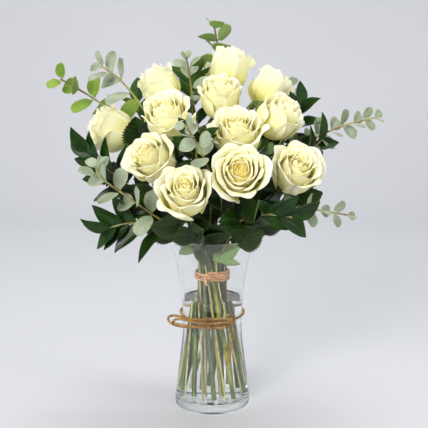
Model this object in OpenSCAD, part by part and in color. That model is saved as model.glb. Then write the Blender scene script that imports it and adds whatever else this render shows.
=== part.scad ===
// A dozen white roses with eucalyptus and dark foliage, tied by hand and stood in a
// waisted glass vase of water. A length of jute twine is tied round the vase's waist.
// Frame: origin on the vase's axis at the table, +Z up, the bouquet's front towards -Y.

/* [Vase] */
// Thickness of the glass wall
glass_wall = 2.8; // [2.5:0.1:3]
// Thickness of the solid glass bottom
glass_bottom = 9; // [8:0.5:10]
// Height of the water above the table
water_level = 129; // [120:1:132]

/* [Stems] */
// Diameter of a rose stem
rose_stem_d = 5.2; // [4.6:0.1:5.4]
// Diameter of a foliage stem
sprig_stem_d = 2.8; // [2.4:0.1:3]
// Height of the middle of the string tie that holds the bunch
tie_z = 157; // [155:1:160]
// How much wider the stems stand at the vase's floor than in the tie
splay = 2.1; // [1.9:0.05:2.15]
// Twist of the stems between the tie and the floor
spiral = 50; // [42:1:54]

/* [Twine] */
// Diameter of the jute twine
twine_d = 2.8; // [2.4:0.1:3]
// Height of the twine's wrap round the glass
wrap_z = 112; // [110:1:113]

/* [Leaves] */
// Greatest thickness of a leaf
leaf_t = 1; // [0.8:0.1:1.4]

/* [Hidden] */

glass_tint = [0.86, 0.93, 0.92, 0.35];
water_tint = [0.78, 0.88, 0.9, 0.3];
jute = [0.66, 0.53, 0.36];
petal_cream = [0.95, 0.93, 0.74];
stem_green = [0.42, 0.5, 0.24];
calyx_green = [0.46, 0.58, 0.3];
rose_leaf_green = [0.13, 0.24, 0.08];
eucalyptus_grey = [0.56, 0.65, 0.54];
ruscus_green = [0.1, 0.2, 0.06];

// Outer outline of the glass: [radius, height], foot to rim
glass_outline = [
    [43, 5], [43.5, 9], [41.5, 24], [39, 47], [35.9, 71], [34, 90], [34, 112],
    [35.5, 129], [39.2, 160], [45, 184], [49, 198]
];
vase_h = 200;
foot_r = 38;          // outer edge of the flat ring that stands on the table
foot_hollow_r = 28;   // the underside is hollow inside this radius

tie_r = 17.3;         // inside radius of the string tie
tie_turns = 4;
rose_outer_r = 14;    // circles that the stems stand on inside the tie
rose_inner_r = 5.5;
sprig_outer_r = 15.2;
sprig_inner_r = 9.3;
floor_clear = 1.5;    // lowest stem end above the glass floor
calyx_h = 12;
arrival = 21;         // how far below its head a rose stem begins to turn towards it
stem_gap = 0.35;      // between a leaf's stalk and its stem
$fn = 48;

// Roses: middle of the head, way it faces, width, height, circle and place in the tie
roses = [
    [[18, 45, 388], [0.1, 0.35, 0.93], 50, 50, rose_inner_r, 90],
    [[8, -10, 359], [0, -0.35, 0.94], 46, 48, rose_inner_r, 270],
    [[-59, 10, 371], [-0.55, -0.15, 0.82], 50, 46, rose_outer_r, 135],
    [[-49, -40, 340], [-0.15, -0.55, 0.82], 58, 46, rose_inner_r, 180],
    [[-114, 0, 323], [-0.85, -0.2, 0.45], 54, 48, rose_outer_r, 180],
    [[-64, -70, 296], [-0.45, -0.75, 0.48], 52, 48, rose_outer_r, 225],
    [[-28, -100, 265], [-0.05, -0.8, 0.6], 56, 52, rose_outer_r, 270],
    [[29, -95, 285], [0, -0.92, 0.38], 58, 48, rose_outer_r, 315],
    [[27, -45, 322], [0, -0.65, 0.76], 56, 50, rose_inner_r, 0],
    [[65, 40, 366], [0.4, 0.5, 0.77], 46, 46, rose_outer_r, 90],
    [[73, -20, 337], [0.6, -0.35, 0.72], 54, 50, rose_outer_r, 45],
    [[90, -50, 282], [0.25, -0.75, 0.61], 56, 50, rose_outer_r, 0]
];

// Leaves on the rose stems: rose, place along its upper stem, tip of the leaf, leaflets, leaflet length
rose_leaves = [
    [1, 0.55, [30, 98, 326], 5, 40],
    [2, 0.5, [-4, 76, 290], 3, 44],
    [3, 0.55, [-70, 70, 316], 5, 40],
    [4, 0.35, [-44, -64, 244], 3, 38],
    [4, 0.62, [-16, -72, 318], 3, 34],
    [5, 0.72, [-82, -52, 326], 1, 50],
    [5, 0.6, [-128, -18, 272], 3, 44],
    [6, 0.3, [-70, -40, 214], 3, 42],
    [6, 0.62, [-96, -60, 254], 3, 40],
    [7, 0.5, [-14, -80, 216], 3, 38],
    [7, 0.72, [-56, -90, 224], 3, 38],
    [8, 0.3, [46, -62, 209], 3, 44],
    [8, 0.7, [46, -96, 240], 3, 42],
    [9, 0.45, [14, -92, 250], 3, 42],
    [10, 0.5, [80, 86, 300], 3, 44],
    [10, 0.7, [98, 52, 334], 3, 38],
    [11, 0.45, [88, 50, 258], 5, 40],
    [11, 0.72, [112, -14, 306], 3, 36],
    [12, 0.36, [76, -60, 232], 5, 40],
    [12, 0.72, [114, -46, 250], 3, 38]
];

// Foliage: circle and place in the tie, points that the stem passes above it,
// [first, last] leaf along the upper stem, number of leaves or pairs, leaf length, leaf width, turn,
// and the leaves that the florist stripped off
eucalyptus = [
    [sprig_inner_r, 112.5, [[-4, 24, 230], [2, 72, 330], [9, 82, 390], [2, 74, 437]], [0.58, 0.98], 6, 22, 20, 20, [3]],
    [0, 0, [[-9, 6, 230], [-20, 14, 310], [-24, 12, 370], [-29, 10, 402]], [0.66, 0.98], 5, 20, 15, 60, [2]],
    [sprig_inner_r, 202.5, [[-24, 6, 230], [-62, -4, 320], [-96, -12, 372], [-122, -12, 393]], [0.7, 0.99], 4, 30, 18, 30, [0]],
    [sprig_outer_r, 157.5, [[-30, 26, 230], [-84, 38, 306], [-128, 36, 348], [-172, 22, 377]], [0.6, 0.99], 5, 22, 17, 0, []],
    [sprig_outer_r, 202.5, [[-35, -24, 208], [-62, -60, 234], [-92, -72, 258], [-118, -76, 278], [-123, -76, 290]],
        [0.42, 0.98], 6, 26, 20, 45, []],
    [sprig_inner_r, 292.5, [[-2, -24, 220], [0, -66, 270], [-12, -92, 308], [-28, -98, 336]], [0.7, 0.98], 4, 22, 22, 70, []],
    [sprig_outer_r, 22.5, [[32, 12, 230], [76, 16, 284], [114, 10, 310], [150, 0, 327], [183, -6, 336]],
        [0.5, 0.99], 8, 20, 17, 10, []],
    [sprig_outer_r, 337.5, [[34, -14, 208], [70, -28, 232], [104, -38, 238], [150, -46, 232]], [0.52, 0.99], 7, 20, 17, 50, [0]],
    [sprig_outer_r, 67.5, [[24, 34, 220], [54, 74, 280], [84, 104, 330], [96, 116, 366]], [0.4, 0.99], 8, 22, 18, 0, [3]]
];
ruscus = [
    [sprig_outer_r, 247.5, [[-34, -24, 214], [-78, -34, 252], [-112, -36, 280], [-136, -38, 304]], [0.36, 0.98], 11, 52, 20, 20, []],
    [sprig_inner_r, 247.5, [[-20, -28, 203], [-56, -45, 218], [-88, -50, 224], [-112, -54, 220]], [0.42, 0.98], 9, 50, 20, 60, []],
    [sprig_inner_r, 67.5, [[15, 7, 230], [36, 12, 258], [68, 22, 290], [90, 18, 320], [102, 14, 350]], [0.6, 0.98], 8, 44, 17, 0, []],
    [sprig_inner_r, 157.5, [[-2, 14, 230], [-12, 32, 300], [-22, 44, 348], [-25, 46, 376]], [0.5, 0.98], 9, 44, 18, 40, [1]],
    [sprig_inner_r, 22.5, [[28, -4, 215], [72, -6, 250], [100, -4, 284], [122, -2, 310]], [0.45, 0.98], 8, 46, 18, 80, [0, 1]],
    [sprig_outer_r, 112.5, [[-22, 40, 220], [-56, 78, 270], [-80, 96, 310], [-92, 104, 345]], [0.35, 0.98], 9, 50, 20, 0, []],
    [sprig_outer_r, 292.5, [[22, -40, 212], [34, -70, 232], [58, -86, 240], [84, -92, 238]], [0.36, 0.98], 8, 50, 24, 30, []],
    [sprig_inner_r, 337.5, [[2, -14, 230], [-5, -36, 264], [-16, -58, 292], [-16, -66, 316]], [0.42, 0.98], 8, 44, 21, 50, []]
];

// The twine's free stretches, from the knot at the right of the front
knot = [19.5, -35, 108];
bow_long = [
    [19, -39, 110.5], [12, -41, 113], [2, -42, 114], [-10, -42, 113.5], [-22, -40.5, 113.5], [-33, -37, 115],
    [-42, -32.5, 115.5], [-48, -28.5, 113.5], [-50, -26.5, 110], [-48, -28, 106.5], [-41, -32, 104],
    [-31, -36.5, 103.5], [-20, -40, 104.5], [-8, -41.5, 106], [4, -41.5, 106.5], [14, -39.5, 106.5], [19, -38, 107]
];
bow_short = [
    [18.5, -42, 109.5], [11, -44.5, 110], [1, -45, 109.5], [-10, -45, 109.5], [-21, -44, 111], [-31, -41, 113],
    [-39, -37, 112.5], [-43.5, -34, 110], [-43, -34.5, 107.5], [-37, -38, 106.5], [-28, -42, 106],
    [-18, -44.5, 105.5], [-7, -45.5, 105], [4, -45.5, 104.5], [13, -43.5, 104.5], [18.5, -41.5, 105.5]
];
twine_tail = [
    [22, -37, 104], [22.5, -36.5, 100], [22.5, -35.5, 95], [22, -34.8, 90], [21.5, -34.4, 85], [21, -34.4, 80],
    [20.5, -34.8, 75], [20, -35.4, 70], [19.5, -36.2, 65], [19, -37, 60]
];

function numbered(kind, k, part = "") =
    str(kind, "_", k < 10 && kind == "rose" ? "0" : "", k, part == "" ? "" : "_", part);
function unit(v) = v / norm(v);
function mix(a, b, t) = a * (1 - t) + b * t;
function polar(r, a) = [r * cos(a), r * sin(a)];

// Points of a cubic curve from a to b that leaves along u and arrives along v
function bend(a, u, v, b, t) =
    a * pow(1 - t, 3) + (a + u) * 3 * t * pow(1 - t, 2) + (b - v) * 3 * t * t * (1 - t) + b * pow(t, 3);

// A smooth curve through points, with a first direction of its own
function through(points, first, n) = [
    for (i = [0:len(points) - 2], k = [0:n - 1])
        let (
            a = points[i],
            b = points[i + 1],
            u = i == 0 ? first : (b - points[i - 1]) / 2,
            v = i == len(points) - 2 ? b - a : (points[i + 2] - a) / 2
        )
        bend(a, u / 3, v / 3, b, k / n),
    points[len(points) - 1]
];

// Direction of a path at each of its points
function headings(path) = [
    for (i = [0:len(path) - 1]) unit(path[min(i + 1, len(path) - 1)] - path[max(i - 1, 0)])
];
// A sideways direction carried along the path without turning about it
function sideways(dirs, start) = [
    for (i = 0, x = across(start, dirs[0]); i < len(dirs);
        i = i + 1, x = i < len(dirs) ? across(x, dirs[i]) : x) x
];
function across(x, d) = unit(x - d * (x * d));
// The path's point and directions at a fraction of its steps
function at_step(list, f) =
    let (s = f * (len(list) - 1), i = min(floor(s), len(list) - 2)) mix(list[i], list[i + 1], s - i);

// A solid swept along a path; slant cuts its first end off at an angle
module sweep(path, radii, sides, slant = 0) {
    dirs = headings(path);
    xs = sideways(dirs, [1, 0.2, 0]);
    points = [
        for (i = [0:len(path) - 1], k = [0:sides - 1])
            let (
                a = 360 * k / sides,
                off = (xs[i] * cos(a) + cross(dirs[i], xs[i]) * sin(a)) * radii[min(i, len(radii) - 1)]
            )
            path[i] + off + dirs[i] * (i == 0 ? slant * (off * xs[0]) : 0)
    ];
    walls = [
        for (i = [0:len(path) - 2], k = [0:sides - 1])
            let (a = i * sides + k, b = i * sides + (k + 1) % sides)
            each [[a, a + sides, b], [b, a + sides, b + sides]]
    ];
    last = (len(path) - 1) * sides;
    polyhedron(points, concat(
        walls,
        [[for (k = [0:sides - 1]) k]],
        [[for (k = [sides - 1:-1:0]) last + k]]
    ));
}

// A leaf blade: a thin lens from base to tip along d, with w across it and the edges bent up by fold.
// shape holds the half-widths, as shares of the greatest, at even steps along it.
module blade(base, d, w, length, width, shape, fold = 0.2, droop = 0.12) {
    n = cross(d, w);
    last = len(shape) - 1;
    points = concat(
        [
            for (i = [0:last])
                let (
                    s = i / (last + 1),
                    half = shape[i] * width / 2,
                    t = leaf_t / 2 * (0.5 + 0.5 * shape[i]),
                    mid = base + d * (s * length) - n * (droop * length * s * s)
                )
                each [mid + w * half + n * (fold * half), mid + n * t, mid - w * half + n * (fold * half), mid - n * t]
        ],
        [base + d * length - n * (droop * length)]
    );
    tip = 4 * (last + 1);
    polyhedron(points, concat(
        [[0, 1, 2], [0, 2, 3]],
        [
            for (i = [0:last - 1], k = [0:3])
                let (a = 4 * i + k, b = 4 * i + (k + 1) % 4)
                each [[a, a + 4, b], [b, a + 4, b + 4]]
        ],
        [for (k = [0:3]) [4 * last + k, tip, 4 * last + (k + 1) % 4]]
    ));
}
round_leaf = [0.06, 0.72, 1, 0.94, 0.55];
lance_leaf = [0.05, 0.75, 1, 0.66];
rose_leaflet = [0.05, 0.78, 1, 0.72];

// ---- Stems ----

// A stem's place at height z below the tie: every stem turns and spreads about the axis alike
function below_tie(r, a, z) =
    let (t = (tie_z - z) / (tie_z - glass_bottom))
    concat(polar(r, a) * (1 - t) + polar(r * splay, a + spiral) * t, [z]);
function cut_z(r, a) = glass_bottom + floor_clear + 3 + 2.5 * (1 + sin(7 * a + 40 * r));
function foot_of(r, a) = below_tie(r, a, cut_z(r, a));
function in_tie(r, a) = below_tie(r, a, tie_z);
function rise(r, a) = unit(in_tie(r, a) - foot_of(r, a));

function rose_slot(k) = [roses[k - 1][4], roses[k - 1][5]];
function rose_axis(k) = unit(roses[k - 1][1]);
function rose_seat(k) = roses[k - 1][0] - rose_axis(k) * roses[k - 1][3] / 2;
function rose_upper(k, n = 11) =
    let (
        r = rose_slot(k)[0],
        a = rose_slot(k)[1],
        top = rose_seat(k) - rose_axis(k) * calyx_h,
        neck = top - rose_axis(k) * 3,
        reach = norm(neck - in_tie(r, a))
    )
    [for (i = [0:n]) bend(in_tie(r, a), rise(r, a) * reach * 0.3, rose_axis(k) * arrival, neck, i / n), top];
function rose_path(k) = concat([foot_of(rose_slot(k)[0], rose_slot(k)[1])], rose_upper(k));
function sprig_upper(s) =
    through(concat([in_tie(s[0], s[1])], s[2]), rise(s[0], s[1]) * norm(s[2][0] - in_tie(s[0], s[1])), 3);
function sprig_path(s) = concat([foot_of(s[0], s[1])], sprig_upper(s));

// The straight part of a stem, which stands in the water
module standing_stem(r, a, d, sides) sweep([foot_of(r, a), in_tie(r, a)], [d / 2], sides, 0.6);

// ---- Vase and water ----

function glass_curve() = through(glass_outline, [0, 3], 2);
module glass_solid() {
    outer = glass_curve();
    rotate_extrude($fn = 96) polygon(concat(
        [[0, 0.8], [foot_hollow_r - 4, 0.8], [foot_hollow_r, 0], [foot_r, 0], [foot_r + 3, 1.4]],
        outer,
        [[49.2, vase_h - 0.4], [48.6, vase_h], [49 - glass_wall + 0.6, vase_h], [49 - glass_wall, vase_h - 0.5]],
        [for (i = [len(outer) - 2:-1:0]) if (outer[i][1] > glass_bottom + 5) outer[i] - [glass_wall, 0]],
        [[39, glass_bottom + 3], [36, glass_bottom + 0.8], [31, glass_bottom], [0, glass_bottom]]
    ));
}
module vase() color(glass_tint) glass_solid();

module water_body() {
    skin = [for (p = glass_curve()) if (p[1] > glass_bottom + 5 && p[1] < water_level) p - [glass_wall, 0]];
    top_r = lookup(water_level, [for (p = glass_curve()) [p[1], p[0]]]) - glass_wall;
    rotate_extrude($fn = 96) polygon(concat(
        [[0, glass_bottom], [31, glass_bottom], [36, glass_bottom + 0.8], [39, glass_bottom + 3]],
        skin,
        [[top_r, water_level], [0, water_level]]
    ));
}
module water() color(water_tint) difference() {
    water_body();
    for (k = [1:12]) standing_stem(rose_slot(k)[0], rose_slot(k)[1], rose_stem_d, 8);
    for (s = concat(eucalyptus, ruscus)) standing_stem(s[0], s[1], sprig_stem_d, 6);
}

// ---- Twine ----

module ring(r, d) rotate_extrude() translate([r, 0]) circle(d = d);
module binding_twine() color(jute) {
    pitch = twine_d + 0.1;
    for (i = [0:tie_turns - 1])
        translate([0, 0, tie_z + (i - (tie_turns - 1) / 2) * pitch]) ring(tie_r + twine_d / 2, twine_d);
    // the knot in front of the turns, with its short cut end
    translate([-7, -sqrt(pow(tie_r + twine_d + 2.8, 2) - 49), tie_z - 1]) {
        sphere(d = 5.4, $fn = 32);
        translate([0, 0, -9]) cylinder(d = twine_d * 0.8, h = 9);
    }
}
module waist_twine() color(jute)
    translate([0, 0, wrap_z]) rotate([6, 0, 0]) ring(34 + twine_d / 2 + 0.6, twine_d);
module waist_twine_bow() color(jute) {
    sweep(through(bow_long, bow_long[1] - bow_long[0], 2), [twine_d / 2], 8);
    sweep(through(bow_short, bow_short[1] - bow_short[0], 2), [twine_d / 2], 8);
}
module waist_twine_knot() color(jute) translate(knot) {
    // three tight turns round the crossing, and the small loop that stands up from them
    rotate([0, 60, -30]) rotate_extrude() polygon([
        [0, -4.2], [2.2, -4.2], [3, -3.4], [3, -2.2], [2.5, -1.5], [3.2, -0.9], [3.3, 0], [3.2, 0.9],
        [2.5, 1.5], [3, 2.2], [3, 3.4], [2.2, 4.2], [0, 4.2]
    ]);
    translate([-1, -1.5, 7.6]) rotate([78, 0, 25]) ring(2.6, twine_d * 0.9);
}
module waist_twine_tail() color(jute) sweep(twine_tail, [twine_d / 2], 8);

// ---- Roses ----

module rose_frame(k) {
    axis = rose_axis(k);
    translate(rose_seat(k)) rotate([0, acos(axis[2]), atan2(axis[1], axis[0])]) children();
}

// Pairs of leaflets: their lean toward the leaf's tip, and their places as shares of the stalk
pair_lean = 0.4;
lone_pair_lean = 0.12;
lone_pair_place = 0.42;
top_pair_place = 0.8;
pair_spacing = 0.5;

stalk_base_r = 0.45;

// A compound leaf: a thin stalk from the stem to the end leaflet, with leaflets in pairs along it
module compound_leaf(base, heading, tip, leaflets, length) {
    away = across(tip - base, heading);
    start = base + away * (rose_stem_d / 2 + stem_gap + stalk_base_r / 2);
    stalk_end = mix(start, tip, max(0.25, 1 - length / norm(tip - start)));
    d = unit(stalk_end - start);
    w = unit(cross(d, [0, 0, 1]));
    stalk = [start, mix(start, stalk_end, 0.5), stalk_end];
    sweep(stalk, [stalk_base_r, 0.8, 0.7], 5);
    blade(stalk_end + d * stem_gap, d, w, length, length * 0.62, rose_leaflet);
    pairs = (leaflets - 1) / 2;
    for (p = [1:1:pairs], side = [-1, 1]) {
        out = unit(w * side + d * (pairs == 1 ? lone_pair_lean : pair_lean));
        place = pairs == 1 ? lone_pair_place : top_pair_place - pair_spacing * (p - 1);
        blade(
            mix(start, stalk_end, place) + w * side * (0.9 + stem_gap),
            out, unit(cross(out, cross(d, w))) * -1, length * (0.95 - 0.12 * p), length * (0.56 - 0.06 * p), rose_leaflet
        );
    }
}
module rose_stem(k) {
    color(stem_green) sweep(rose_path(k), [rose_stem_d / 2], 8, 0.6);
    color(rose_leaf_green) for (leaf = rose_leaves) if (leaf[0] == k) {
        upper = rose_upper(k);
        compound_leaf(at_step(upper, leaf[1]), unit(at_step(headings(upper), leaf[1])), leaf[2], leaf[3], leaf[4]);
    }
}

// The hip under the bloom with five sepals bent back from it
module rose_calyx(k) color(calyx_green) rose_frame(k) {
    rotate_extrude() polygon([
        [0, -calyx_h], [rose_stem_d / 2, -calyx_h], [3.2, -9.5], [4.8, -7], [5.4, -4], [5.2, -1.5], [6.2, 0], [0, 0]
    ]);
    for (i = [0:4]) rotate([0, 0, 72 * i + 23 * k])
        blade([5.7, 0, -2.2], unit([1, 0, -0.75]), [0, 1, 0], 20, 7, lance_leaf, 0.15, 0.25);
}

// The cup that petals follow, as shares of the bloom's radius and height
petal_cup = [[0.2, 0], [0.42, 0.08], [0.66, 0.24], [0.84, 0.46], [0.93, 0.68], [0.98, 0.84], [1, 0.97]];
petal_t = 1.1;
petal_step = 2.6;
inner_petal_width = 0.78;
inner_petal_foot = 0.07;
module petal(r, h, top, inset, foot = 0, width = 1) intersection() {
    rotate_extrude() polygon(concat(
        [for (p = petal_cup) [p[0] * r - inset, p[1] * h * top]],
        [for (i = [len(petal_cup) - 1:-1:0]) [petal_cup[i][0] * r - inset - petal_t, petal_cup[i][1] * h * top]]
    ));
    rotate([90, 0, 90]) linear_extrude(r + 2) polygon([
        for (p = [
            [-0.05, foot], [0.05, foot], [0.34, 0.3], [0.5, 0.55], [0.51, 0.7], [0.44, 0.84 * top], [0.24, 0.94 * top],
            [0, 0.98 * top], [-0.24, 0.93 * top], [-0.44, 0.82 * top], [-0.51, 0.68], [-0.5, 0.53], [-0.34, 0.3]
        ]) [p[0] * r * width, p[1] * h]
    ]);
}
module rose_bloom(k) color(petal_cream) rose_frame(k) {
    r = roses[k - 1][2] / 2;
    h = roses[k - 1][3];
    for (i = [0:4]) {
        rotate([0, 0, 72 * i + 31 * k]) petal(r, h, 0.88, 0);
        rotate([0, 0, 72 * i + 31 * k + 36]) petal(r, h, 0.96, petal_step, inner_petal_foot, inner_petal_width);
    }
    rotate_extrude() polygon(concat(
        [[0, 0], [1.2, 0]],
        [for (p = petal_cup) if (p[1] > 0) [p[0] * r - 2 * petal_step, p[1] * h * 0.98]],
        [[0.74 * r, h * 0.96], [0.66 * r, h * 0.8], [0.56 * r, h * 0.8], [0.5 * r, h * 0.98], [0.42 * r, h * 0.98],
         [0.36 * r, h * 0.84], [0.28 * r, h * 0.84], [0.2 * r, h], [0, h]]
    ));
}

// ---- Foliage ----

module sprig_leaf(s, f, turn, length, width, shape, lift) {
    path = sprig_upper(s);
    dirs = headings(path);
    along = unit(at_step(dirs, f));
    x = across(at_step(sideways(dirs, [1, 0.2, 0]), f), along);
    y = cross(along, x);
    out = x * cos(turn) + y * sin(turn);
    base = at_step(path, f) + out * (sprig_stem_d / 2 + stem_gap);
    blade(base, unit(out + along * lift), cross(along, out), length, width, shape);
}
module eucalyptus_sprig(s) {
    color(stem_green) sweep(sprig_path(s), [sprig_stem_d / 2], 6, 0.6);
    color(eucalyptus_grey) for (i = [0:s[4] - 1], side = [0, 1]) if (len(search(2 * i + side, s[8])) == 0) {
        t = i / (s[4] - 1);
        size = 1.05 - 0.45 * t * t;
        sprig_leaf(s, mix(s[3][0], s[3][1], t), s[7] + 90 * i + 180 * side, s[5] * size, s[6] * size,
            round_leaf, 0.5 + 0.6 * t);
    }
}
module ruscus_sprig(s) {
    color(stem_green) sweep(sprig_path(s), [sprig_stem_d / 2], 6, 0.6);
    color(ruscus_green) for (i = [0:s[4] - 1]) if (len(search(i, s[8])) == 0) {
        t = i / (s[4] - 1);
        sprig_leaf(s, mix(s[3][0], s[3][1], t), s[7] + 170 * i, s[5] * (1 - 0.25 * t), s[6] * (1 - 0.2 * t),
            lance_leaf, 0.8 + 1.2 * t);
    }
}

vase();
water();
binding_twine();
waist_twine();
waist_twine_bow();
waist_twine_knot();
waist_twine_tail();
for (k = [1:12]) {
    rose_stem(k);
    rose_calyx(k);
    rose_bloom(k);
}
for (k = [1:9]) eucalyptus_sprig(eucalyptus[k - 1]);
for (k = [1:8]) ruscus_sprig(ruscus[k - 1]);
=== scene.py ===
# %% [markdown]
# # White roses in a glass vase
# Twelve cream roses, nine sprigs of eucalyptus and eight of ruscus stand in a glass vase of water.
# A string tie holds the bunch in the neck, and a jute bow sits round the waist of the glass.
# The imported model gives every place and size, and this lesson gives each piece its real surface.

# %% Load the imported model
import math

import bmesh
import bpy
import numpy as np
from mathutils import Matrix, Vector


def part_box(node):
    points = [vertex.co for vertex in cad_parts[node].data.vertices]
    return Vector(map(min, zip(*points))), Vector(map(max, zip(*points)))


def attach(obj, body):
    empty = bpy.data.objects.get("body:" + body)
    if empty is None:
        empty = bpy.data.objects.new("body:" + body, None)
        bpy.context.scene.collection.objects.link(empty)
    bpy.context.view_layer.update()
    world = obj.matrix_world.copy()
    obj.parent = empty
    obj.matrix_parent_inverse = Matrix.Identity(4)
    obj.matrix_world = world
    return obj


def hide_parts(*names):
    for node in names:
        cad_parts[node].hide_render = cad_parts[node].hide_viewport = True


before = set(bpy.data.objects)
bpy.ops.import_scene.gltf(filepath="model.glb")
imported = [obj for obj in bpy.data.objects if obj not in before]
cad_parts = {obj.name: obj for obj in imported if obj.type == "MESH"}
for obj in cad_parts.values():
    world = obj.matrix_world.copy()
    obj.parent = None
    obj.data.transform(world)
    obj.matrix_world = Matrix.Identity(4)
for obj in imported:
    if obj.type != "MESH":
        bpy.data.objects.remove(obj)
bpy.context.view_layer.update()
scene = bpy.context.scene

# %% [markdown]
# ## The camera
# A long lens from a little above keeps the vase straight and the roses close to their true shapes.
# The colours are shown without a film curve, because cream petals turn grey under one.

# %% Camera and colour
MM = 0.001
LOOK_DOWN = 9.9     # degrees below level
camera = bpy.data.objects.new("camera", bpy.data.cameras.new("camera"))
scene.collection.objects.link(camera)
camera.data.lens = 90.2
camera.data.sensor_width = 36
camera.location = (0.002, -1.2, 0.435)
camera.rotation_euler = (math.radians(90 - LOOK_DOWN), 0, 0)
scene.camera = camera
scene.view_settings.view_transform = "Standard"
print("camera", tuple(round(x, 3) for x in camera.location))

# %% [markdown]
# ## Small helpers for node trees and meshes
# Every node tree here is built with `put`, which makes a node, sets it and links what feeds it.
# Meshes come from number arrays, and `grid_faces` joins a grid of points into four-sided faces.

# %% Helpers
def put(tree, kind, feeds=None, **settings):
    """Add a node. feeds maps an input's name or number to a value or to another node's output."""
    made = tree.nodes.new(kind)
    for name, value in settings.items():
        setattr(made, name, value)
    for name, value in (feeds or {}).items():
        if isinstance(value, bpy.types.NodeSocket):
            tree.links.new(value, made.inputs[name])
        else:
            made.inputs[name].default_value = value
    return made


def math_node(tree, operation, a, b=0.0, clamp=False):
    return put(tree, "ShaderNodeMath", {0: a, 1: b}, operation=operation, use_clamp=clamp).outputs[0]


def mix_colour(tree, factor, a, b, blend="MIX"):
    """Mix two colours: factor 0 gives a, and 1 gives b."""
    made = put(tree, "ShaderNodeMix", {0: factor, 6: a, 7: b}, data_type="RGBA", blend_type=blend)
    return made.outputs[2]


def ramp(tree, value, stops):
    """A colour ramp with (place, colour) stops."""
    made = put(tree, "ShaderNodeValToRGB", {0: value})
    while len(made.color_ramp.elements) < len(stops):
        made.color_ramp.elements.new(0.5)
    for element, (place, colour) in zip(made.color_ramp.elements, stops):
        element.position = place
        element.color = colour
    return made.outputs[0]


def srgb(red, green, blue):
    """A colour as a painter reads it, 0 to 255, turned into the linear light that shaders use."""
    shares = (red / 255, green / 255, blue / 255)
    return (*(c / 12.92 if c <= 0.04045 else ((c + 0.055) / 1.055) ** 2.4 for c in shares), 1.0)


def grid_faces(rows, columns, start=0, closed=False):
    """Faces of a grid whose points are stored row by row. closed joins the last column to the first."""
    last = columns if closed else columns - 1
    return [
        (start + r * columns + c, start + r * columns + (c + 1) % columns,
         start + (r + 1) * columns + (c + 1) % columns, start + (r + 1) * columns + c)
        for r in range(rows - 1) for c in range(last)
    ]


def sheet_faces(rows, columns):
    """Faces of a thin sheet: a front grid, a back grid stored after it, and the rim between them."""
    back = rows * columns
    right = [r * columns + columns - 1 for r in range(1, rows)]
    top = [(rows - 1) * columns + c for c in range(columns - 2, -1, -1)]
    left = [r * columns for r in range(rows - 2, 0, -1)]
    rim = list(range(columns)) + right + top + left
    faces = grid_faces(rows, columns) + [f[::-1] for f in grid_faces(rows, columns, back)]
    return faces + [(b, a, a + back, b + back) for a, b in zip(rim, rim[1:] + rim[:1])]


def new_mesh(name, points, faces, material=None, smooth=True):
    mesh = bpy.data.meshes.new(name)
    mesh.from_pydata([tuple(map(float, p)) for p in points], [], faces)
    mesh.update()
    if smooth:
        mesh.shade_smooth()
    made = bpy.data.objects.new(name, mesh)
    scene.collection.objects.link(made)
    if material:
        mesh.materials.append(material)
    return made


def settle(piece, slot, *nodes):
    """Tie a finished piece to the frame it rides on, and hide the solids it stands for. slot is not used."""
    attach(piece, "root")
    if nodes:
        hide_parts(*nodes)
    return piece


def unit(v):
    return v / np.linalg.norm(v)


def smooth_path(points, per_span=8):
    """A Catmull-Rom curve through the points."""
    p = np.asarray(points, float)
    p = np.vstack([2 * p[0] - p[1], p, 2 * p[-1] - p[-2]])
    t = np.linspace(0, 1, per_span, endpoint=False)[:, None]
    spans = [
        0.5 * (2 * p[i] + (p[i + 1] - p[i - 1]) * t + (2 * p[i - 1] - 5 * p[i] + 4 * p[i + 1] - p[i + 2]) * t ** 2
               + (3 * p[i] - p[i - 1] - 3 * p[i + 1] + p[i + 2]) * t ** 3)
        for i in range(1, len(p) - 2)
    ]
    return np.vstack(spans + [p[-2][None]])


def carried_frames(path):
    """Tangents and two side vectors along a path, turned as little as possible from point to point."""
    tangents = np.gradient(path, axis=0)
    tangents /= np.linalg.norm(tangents, axis=1)[:, None]
    first = np.array([0, 0, 1.0]) if abs(tangents[0][2]) < 0.9 else np.array([1.0, 0, 0])
    side = unit(np.cross(tangents[0], first))
    sides = []
    for tangent in tangents:
        side = unit(side - tangent * side.dot(tangent))
        sides.append(side)
    sides = np.array(sides)
    return tangents, sides, np.cross(tangents, sides)

# %% [markdown]
# ## Jute twine
# Jute twine is three plies laid round each other, so its outline winds and light catches each ply.
# A plain tube would look like wire. Each ply here is its own round strand that circles the cord's
# middle line, and loose fibres are added later with Geometry Nodes.

# %% Twine strands
TWINE = 2.8 * MM
PLIES = 3
PLY_R = 0.26        # radius of one ply, as a share of the twine's thickness
LAY_R = 0.28        # how far each ply's middle is from the twine's middle, as a share of its thickness
LAY_LENGTH = 3.0    # length of one full turn of the plies, in twine thicknesses


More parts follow.
